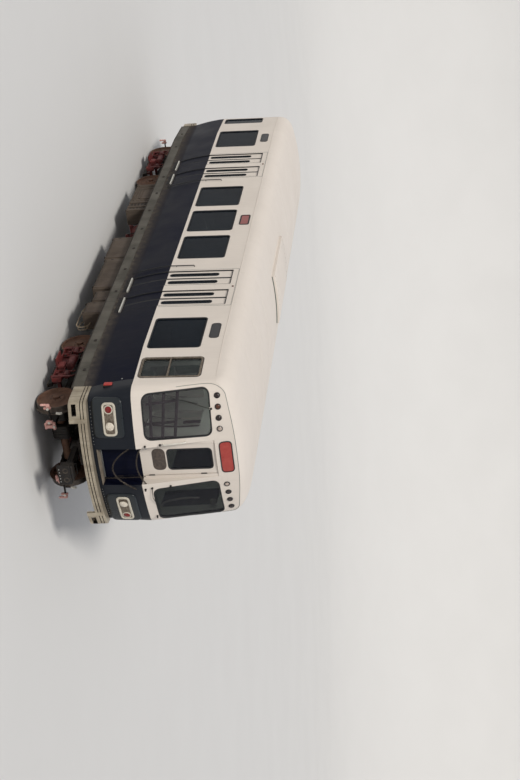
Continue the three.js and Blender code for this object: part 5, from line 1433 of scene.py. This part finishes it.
def interior():
    for node in ("near_middle_glass", "far_middle_glass", "near_rear_glass", "far_rear_glass"):
        dress(node, TINTED)
    # The far cab window takes the saloon's tinted glass instead of the cab's clear glass, so that it reads darker:
    # painted shade.
    for (name, side), cab_glass in zip(SIDES, ("glass_float_clear", TINTED)):
        panes = Piece()
        for (y0, y1), (z0, z1), glass in ((END_ROOM_WINDOWS[0], WINDOW_Z, TINTED),
                                          (CAB_WINDOW, CAB_WINDOW_Z, cab_glass)):
            panes.pad(rounded_box(y0 - 0.018, y1 + 0.018, z0 - 0.018, z1 + 0.018, 0.07), [(0, -0.02)],
                      side_surface(side), glass, back=-0.028)
        panes.make(f"{name}_front_panes", "window_glass", [f"{name}_front_glass"])
    dress("cab_partition", LINING)
    dress("cab_desk", PLATE)

    ceiling = Piece()
    ceiling.skin([[Vector((x, y, z)) for x, z in ((-1.14, 3.3), (-0.95, 3.46), (0.95, 3.46), (1.14, 3.3), (1.14, 3.28),
                                                  (0.94, 3.43), (-0.94, 3.43), (-1.14, 3.28))] for y in (-5.9, 6.7)],
                 CEILING)
    for side in (-1, 1):
        corners = (0.46, 3.432), (0.62, 3.432), (0.6, 3.395), (0.48, 3.395)
        lamp = rounded([(side * x, z) for x, z in corners], 0.012, 3)
        for y in (-4.9 + 1.4 * k for k in range(8)):
            ceiling.prism(lamp, "y", y - 0.62, y + 0.62, "acrylic_opal_diffuser")
    ceiling.make("ceiling_panels", "inner_panel")

    poles = Piece()
    for x in (-0.62, 0.62):
        for y in (-3.21, -2.3, 2.3, 3.21):
            poles.tube([(x, y, FLOOR + 0.002), (x, y, 3.435)], 0.017, CHROME, 14)
            poles.lathe([(0.045, 0.0), (0.04, 0.012), (0.018, 0.02)], (x, y, FLOOR + 0.001), (0, 0, 1), CHROME, 20)
    poles.make("stanchions", "bare_aluminium")
    cab_fittings()


def cab_fittings():
    """Dials, controller and seat of the cab, dark bars inside the near windshield that stand in for a reflection in it,
    a pipe inside the far windshield and a box in the far corner.
    """
    cab = Piece()
    cab.prism([Vector(p) for p in ((-6.88, 1.891), (-6.64, 1.891), (-6.64, 1.93), (-6.8, 1.98), (-6.88, 1.98))], "x",
              -1.08, -0.46, PLATE, 0.004)
    for x in (-1.05, -0.9, -0.75, -0.6):
        cab.lathe([(0.042, 0.0), (0.042, 0.01), (0.036, 0.014), (0.0, 0.012)], (x, -6.75, 1.965), (0, 0.35, 1), TRIM,
                  24)
    cab.lathe([(0.05, 0.0), (0.05, 0.06), (0.03, 0.08), (0.02, 0.09)], (-0.55, -6.7, 1.93), (0, 0, 1), CAST, 20)
    cab.tube([(-0.55, -6.7, 2.01), (-0.55, -6.6, 2.03), (-0.55, -6.54, 2.03)], 0.012, CHROME, 10)
    cab.block((-1.1, -6.15, 1.62), (-0.7, -5.8, 1.68), VINYL, 0.02)
    cab.block((-1.1, -5.86, 1.7), (-0.7, -5.79, 2.1), VINYL, 0.02)
    cab.tube([(-0.9, -5.98, FLOOR + 0.002), (-0.9, -5.98, 1.62)], 0.035, CAST, 16)
    # Dark rubber bars and uprights for the reflection in the near windshield: painted reflection.
    rails = [(Vector(a), Vector(b)) for a, b in RAILING_REFLECTION_BARS]
    for rail in rails:
        cab.tube(rail, 0.026, RUBBER, 10)
    for share in (0.19, 0.66, 1.0):
        top, foot = (a.lerp(b, share) for a, b in (rails[0], rails[-1]))
        cab.tube([top + Vector((0, 0, 0.02)), foot - Vector((0, 0, 0.08))], 0.022, RUBBER, 10)
    cab.tube([(x, -6.75, z) for x, z in ((0.94, 2.76), (0.935, 2.6), (0.95, 2.4), (0.985, 2.22), (1.02, 2.12),
                                         (1.11, 2.06))], 0.016, WHITE, 12)
    cab.pad(rounded_box(1.15, 1.27, 2.88, 2.99, 0.02, 3), [(0, 0.002), (0.004, 0.006)],
            lambda x, z: Vector((x, -6.5, z)), WHITE, back=-0.01)
    cab.make("cab_fittings", "inner_panel")


def cushion(name, low, high, slope):
    """A crowned seat pad: a grid over a box whose sides pull in between the corners, with a welt round its edge."""
    width, length, height = (h - l for l, h in zip(low, high))
    middle = Vector([(l + h) / 2 for l, h in zip(low, high)])
    turn = Matrix.Rotation(slope, 4, "X")
    square = lambda v: math.copysign(abs(v) ** 0.34, v)
    piece = Piece()
    rows = []
    for rise in steps(-math.pi / 2, math.pi / 2, 12):
        level, reach = math.sin(rise), max(0.02, math.cos(rise)) ** 0.28
        row = []
        for u in angles(56):
            px, py = square(math.cos(u + 0.0001)), square(math.sin(u + 0.0001))
            pull = 1 - 0.05 * (1 - abs(px * py)) * (1 - abs(level))
            thick = 0.5 * height * (0.8 + 0.2 * (1 - 0.5 * (px * reach) ** 2 - 0.5 * (py * reach) ** 2))
            row.append(middle + turn @ Vector((px * reach * pull * width / 2, py * reach * pull * length / 2,
                                               level * thick)))
        rows.append(row)
    piece.skin(rows, VINYL)
    piece.tube([middle + (p - middle) * 0.992 for p in rows[6]], 0.004, VINYL, 6, loop=True)
    piece.make(name, "seat_vinyl", sharp=60)


def seats(name, side):
    frames = Piece()
    frames.block((side * 1.14, -2.4, FLOOR + 0.001), (side * 1.235, 2.4, 1.47), LINING, 0.006)
    x0, x1 = sorted((side * 0.4, side * 1.23))
    for k in range(6):
        y = -2.0 + 0.8 * k
        frames.block((x0, y - 0.2, 1.47), (x1, y + 0.2, 1.484), TRIM)
        frames.tube([(side * 0.44, y, FLOOR + 0.002), (side * 0.44, y, 1.475)], 0.018, CHROME, 12)
        for x in (0.43, 1.2):
            frames.tube([(side * x, y + 0.16, 1.478), (side * x, y + 0.205, 1.6), (side * x, y + 0.262, 2.16)], 0.012,
                        CHROME, 10)
        frames.tube([(side * 0.43, y + 0.262, 2.16), (side * 0.43, y + 0.262, 2.19), (side * 0.8, y + 0.264, 2.195),
                     (side * 1.2, y + 0.262, 2.16)], 0.013, CHROME, 10)
        cushion(f"{name}_seat_cushion_{k + 1}", (x0, y - 0.215, 1.486), (x1, y + 0.195, 1.59), 0.0)
        cushion(f"{name}_seat_back_{k + 1}", (x0 + 0.01, y - 0.07, 1.835), (x1 - 0.01, y + 0.49, 1.895),
                math.radians(83))
    frames.make(f"{name}_seat_frames", "bare_aluminium", [f"{name}_seats"])


# Hoses under the boxes ahead of the trucks: side, x, y and z where one leaves its box towards the front, run
# before the turn, radius of the turn, run back under the box and rise to its far end
HOSE_THICK = 0.018
HOSES = [
    (-1, 1.02, -3.706, 0.52, 0.05, 0.125, 0.56, 0.235, 0.185),
    (-1, 0.95, -3.706, 0.47, 0.06, 0.09, 0.11, 0.18, 0.088),
    (1, 1.0, -3.406, 0.6, 0.06, 0.14, 0.18, 0.2, 0.128),
]


def hoses():
    """Hoses that leave the boxes, hang in a loop, turn back under the boxes and rise into them."""
    for number, (side, x, y, z, run, radius, back, last, rise) in enumerate(HOSES, 1):
        low = z - 2 * radius
        path = [(y - u, z) for u in steps(0, run, 4)[:-1]]
        path += [(y - run - radius * math.sin(a), z - radius + radius * math.cos(a)) for a in steps(0, math.pi, 12)]
        path += [(y - run + u, low) for u in steps(0, back, 6)[1:]]
        path += [(y - run + back + last * u, low + rise * u * u) for u in steps(0, 1, 7)[1:]]
        points = [Vector((side * x, *p)) for p in path]
        data = bpy.data.curves.new(f"box_hose_{number}", "CURVE")
        data.dimensions = "3D"
        data.bevel_depth, data.bevel_resolution, data.use_fill_caps = HOSE_THICK / 2, 4, True
        spline = data.splines.new("POLY")
        spline.points.add(len(points) - 1)
        for point, p in zip(spline.points, points):
            point.co = (*p, 1.0)
        data.materials.append(material("rubber_braided_beige"))
        obj = linked(data.name, data)
        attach(obj, "car_body")


# Stage

# The camera that was fitted to the photograph: where it stands, its turns and its focal length in pixels
CAMERA_AT, CAMERA_YAW, CAMERA_PITCH, CAMERA_ROLL = (-12.042, -25.809, 6.828), 0.519, -0.127, -0.041
FOCAL_PX, LONG_SIDE_PX, SENSOR_MM = 1346.05, 780, 36.0


def camera():
    """The camera stands where the photograph was taken. The photograph lies on its side, so its right is up here."""
    yaw, pitch, roll = CAMERA_YAW, CAMERA_PITCH, CAMERA_ROLL
    ahead = Vector((math.sin(yaw) * math.cos(pitch), math.cos(yaw) * math.cos(pitch), math.sin(pitch)))
    level = Vector((math.cos(yaw), -math.sin(yaw), 0.0))
    up = level.cross(ahead)
    right = level * math.cos(roll) + up * math.sin(roll)
    top = up * math.cos(roll) - level * math.sin(roll)
    data = bpy.data.cameras.new("photo_camera")
    data.sensor_width, data.lens, data.clip_end = SENSOR_MM, SENSOR_MM * FOCAL_PX / LONG_SIDE_PX, 400
    obj = linked("photo_camera", data)
    obj.matrix_world = Matrix.Translation(CAMERA_AT) @ Matrix((top, -right, -ahead)).transposed().to_4x4()
    bpy.context.scene.camera = obj


# Suns: name, strength, width in degrees, turns in degrees and colour
SUNS = [("key", 2.2, 12, (44, 0, -45), (1.0, 0.96, 0.9)), ("fill", 0.3, 60, (55, 0, 70), (0.93, 0.96, 1.0))]
# Lamps in the rooms: x, y and power in watts
ROOM_LAMPS = [(-0.9, -6.35, 5), (0.7, -6.2, 3), (0.0, -4.6, 6), (0.0, -2.0, 8), (0.0, 1.0, 8), (0.0, 4.5, 8)]


def lights():
    world = bpy.data.worlds.new("studio")
    world.use_nodes = True
    sky = world.node_tree.nodes["Background"].inputs
    sky["Color"].default_value, sky["Strength"].default_value = (0.92, 0.94, 1.0, 1.0), 0.52
    bpy.context.scene.world = world
    for name, energy, angle, turn, colour in SUNS:
        data = bpy.data.lights.new(name, "SUN")
        data.energy, data.angle, data.color = energy, math.radians(angle), colour
        linked(name, data).rotation_euler = [math.radians(a) for a in turn]
    for x, y, energy in ROOM_LAMPS:
        data = bpy.data.lights.new("room", "POINT")
        data.energy, data.shadow_soft_size = energy, 0.2
        linked("room", data).location = (x, y, 3.0)
    bpy.context.scene.view_settings.view_transform = "Standard"


def stage_floor():
    """A level disc that curves up into a wall far behind the car."""
    piece = Piece()
    level, radius, thick, tip = 55, 24, 1.0, 0.001
    top = [(tip, 0.0), (20, 0.0), *((level + radius * math.sin(a), radius * (1 - math.cos(a)))
                                    for a in steps(0, math.pi / 2, 12))]
    under = [(r + thick, z - thick) for r, z in top[:0:-1]] + [(tip, -thick)]
    piece.lathe(top + under, (0, 0, 0), (0, 0, 1), "board_painted_pale", 96)
    piece.object("studio_floor")


# Add-on

class CarLooks(bpy.types.PropertyGroup):
    """Colours and sizes that a user may change."""

    upper_paint: bpy.props.FloatVectorProperty(
        name="Upper paint", description="Enamel of the roof and of the body above the belt", subtype="COLOR", size=3,
        min=0.0, max=1.0, default=linear("d9d0c6")[:3])
    lower_paint: bpy.props.FloatVectorProperty(
        name="Lower paint", description="Enamel of the body below the belt", subtype="COLOR", size=3,
        min=0.0, max=1.0, default=linear("0a0d1c")[:3])
    gasket_width: bpy.props.FloatProperty(
        name="Gasket width", description="Rubber showing round each side window", default=0.014, unit="LENGTH")
    handrail_radius: bpy.props.FloatProperty(
        name="Handrail radius", description="Radius of the rails beside the doors", default=0.009, unit="LENGTH")
    handrail_stand: bpy.props.FloatProperty(
        name="Handrail stand-off", description="Distance of the rails from the body side", default=0.028, unit="LENGTH")


class CAR_OT_camera(bpy.types.Operator):
    """Camera at the photograph's place and soft studio light"""
    bl_idname = "subway_car.camera"
    bl_label = "Camera and light"

    def execute(self, context):
        camera()
        lights()
        return {"FINISHED"}


class CAR_OT_hoses(bpy.types.Operator):
    """Hanging hoses under the equipment boxes"""
    bl_idname = "subway_car.hoses"
    bl_label = "Air hoses"

    def execute(self, context):
        hoses()
        return {"FINISHED"}


class CAR_OT_sides(bpy.types.Operator):
    """Body sides with their window and door openings, trim and signs"""
    bl_idname = "subway_car.sides"
    bl_label = "Body sides"

    def execute(self, context):
        for name, side in SIDES:
            body_side(name, side)
            side_trim(name, side)
        return {"FINISHED"}


class CAR_OT_roof(bpy.types.Operator):
    """Roof sheet with its fairing, seams and drip rails"""
    bl_idname = "subway_car.roof"
    bl_label = "Roof"

    def execute(self, context):
        roof_shell()
        return {"FINISHED"}


class CAR_OT_front(bpy.types.Operator):
    """Front mask, dome and nose with the windshields"""
    bl_idname = "subway_car.front"
    bl_label = "Front"

    def execute(self, context):
        mask_shell()
        dome_shell()
        nose_shell()
        windshields()
        return {"FINISHED"}


class CAR_OT_front_fittings(bpy.types.Operator):
    """Sign, lights, chains and hand holds of the front"""
    bl_idname = "subway_car.front_fittings"
    bl_label = "Front fittings"

    def execute(self, context):
        front_signs()
        lamps()
        front_hardware()
        return {"FINISHED"}


class CAR_OT_rear(bpy.types.Operator):
    """Rear end wall"""
    bl_idname = "subway_car.rear"
    bl_label = "Rear end"

    def execute(self, context):
        rear_shell()
        return {"FINISHED"}


class CAR_OT_end_beams(bpy.types.Operator):
    """Ribbed beams round both ends"""
    bl_idname = "subway_car.end_beams"
    bl_label = "End beams"

    def execute(self, context):
        for name, end in ENDS:
            end_beam(name, end)
        return {"FINISHED"}


class CAR_OT_leaves(bpy.types.Operator):
    """The sixteen side door leaves"""
    bl_idname = "subway_car.leaves"
    bl_label = "Side doors"

    def execute(self, context):
        for name, side in SIDES:
            for end_name, end in ENDS:
                for k, (low, high) in enumerate(((-DOORWAY_HALF, -POST_HALF), (POST_HALF, DOORWAY_HALF))):
                    door_leaf(f"{name}_{end_name}", side, end * DOORWAY + low, 1, 2 * k + 1)
                    door_leaf(f"{name}_{end_name}", side, end * DOORWAY + high, -1, 2 * k + 2)
        return {"FINISHED"}


class CAR_OT_end_doors(bpy.types.Operator):
    """The two end doors"""
    bl_idname = "subway_car.end_doors"
    bl_label = "End doors"

    def execute(self, context):
        for name, end in ENDS:
            storm_door(name, end)
        return {"FINISHED"}


class CAR_OT_underfloor(bpy.types.Operator):
    """Equipment boxes, pipes and tanks under the floor"""
    bl_idname = "subway_car.underfloor"
    bl_label = "Underfloor equipment"

    def execute(self, context):
        underfloor()
        for name, side in SIDES:
            equipment_row(name, side)
        return {"FINISHED"}


class CAR_OT_couplers(bpy.types.Operator):
    """Couplers of both ends"""
    bl_idname = "subway_car.couplers"
    bl_label = "Couplers"

    def execute(self, context):
        for name, end in ENDS:
            coupler(name, end)
        return {"FINISHED"}


class CAR_OT_trucks(bpy.types.Operator):
    """Truck frames, brake gear and wheelsets"""
    bl_idname = "subway_car.trucks"
    bl_label = "Trucks"

    def execute(self, context):
        for name, end in ENDS:
            truck_frame(name, end)
            brake_gear(name, end)
            wheelset(name, end, "outer", 1)
            wheelset(name, end, "inner", -1)
        return {"FINISHED"}


class CAR_OT_interior(bpy.types.Operator):
    """Glass, ceiling, poles, cab and seats"""
    bl_idname = "subway_car.interior"
    bl_label = "Inside"

    def execute(self, context):
        interior()
        for name, side in SIDES:
            seats(name, side)
        return {"FINISHED"}


class CAR_OT_stage(bpy.types.Operator):
    """Pale studio floor"""
    bl_idname = "subway_car.stage"
    bl_label = "Stage"

    def execute(self, context):
        stage_floor()
        return {"FINISHED"}


STEPS = (
    CAR_OT_camera, CAR_OT_hoses, CAR_OT_sides, CAR_OT_roof, CAR_OT_front, CAR_OT_front_fittings, CAR_OT_rear,
    CAR_OT_end_beams, CAR_OT_leaves, CAR_OT_end_doors, CAR_OT_underfloor, CAR_OT_couplers, CAR_OT_trucks,
    CAR_OT_interior, CAR_OT_stage,
)


class CAR_PT_looks(bpy.types.Panel):
    """Colours and sizes of the car and the operators that build its pieces"""
    bl_label = "Subway car"
    bl_idname = "CAR_PT_looks"
    bl_space_type = "VIEW_3D"
    bl_region_type = "UI"
    bl_category = "Subway car"

    def draw(self, context):
        for name in CarLooks.__annotations__:
            self.layout.prop(context.scene.car_looks, name)
        for step in STEPS:
            self.layout.operator(step.bl_idname)


def register():
    for item in (CarLooks, *STEPS, CAR_PT_looks):
        bpy.utils.register_class(item)
    bpy.types.Scene.car_looks = bpy.props.PointerProperty(type=CarLooks)


def unregister():
    del bpy.types.Scene.car_looks
    for item in (CAR_PT_looks, *reversed(STEPS), CarLooks):
        bpy.utils.unregister_class(item)


def main():
    register()
    for step in STEPS:
        group, name = step.bl_idname.split(".")
        getattr(getattr(bpy.ops, group), name)()


if __name__ == "__main__":
    main()
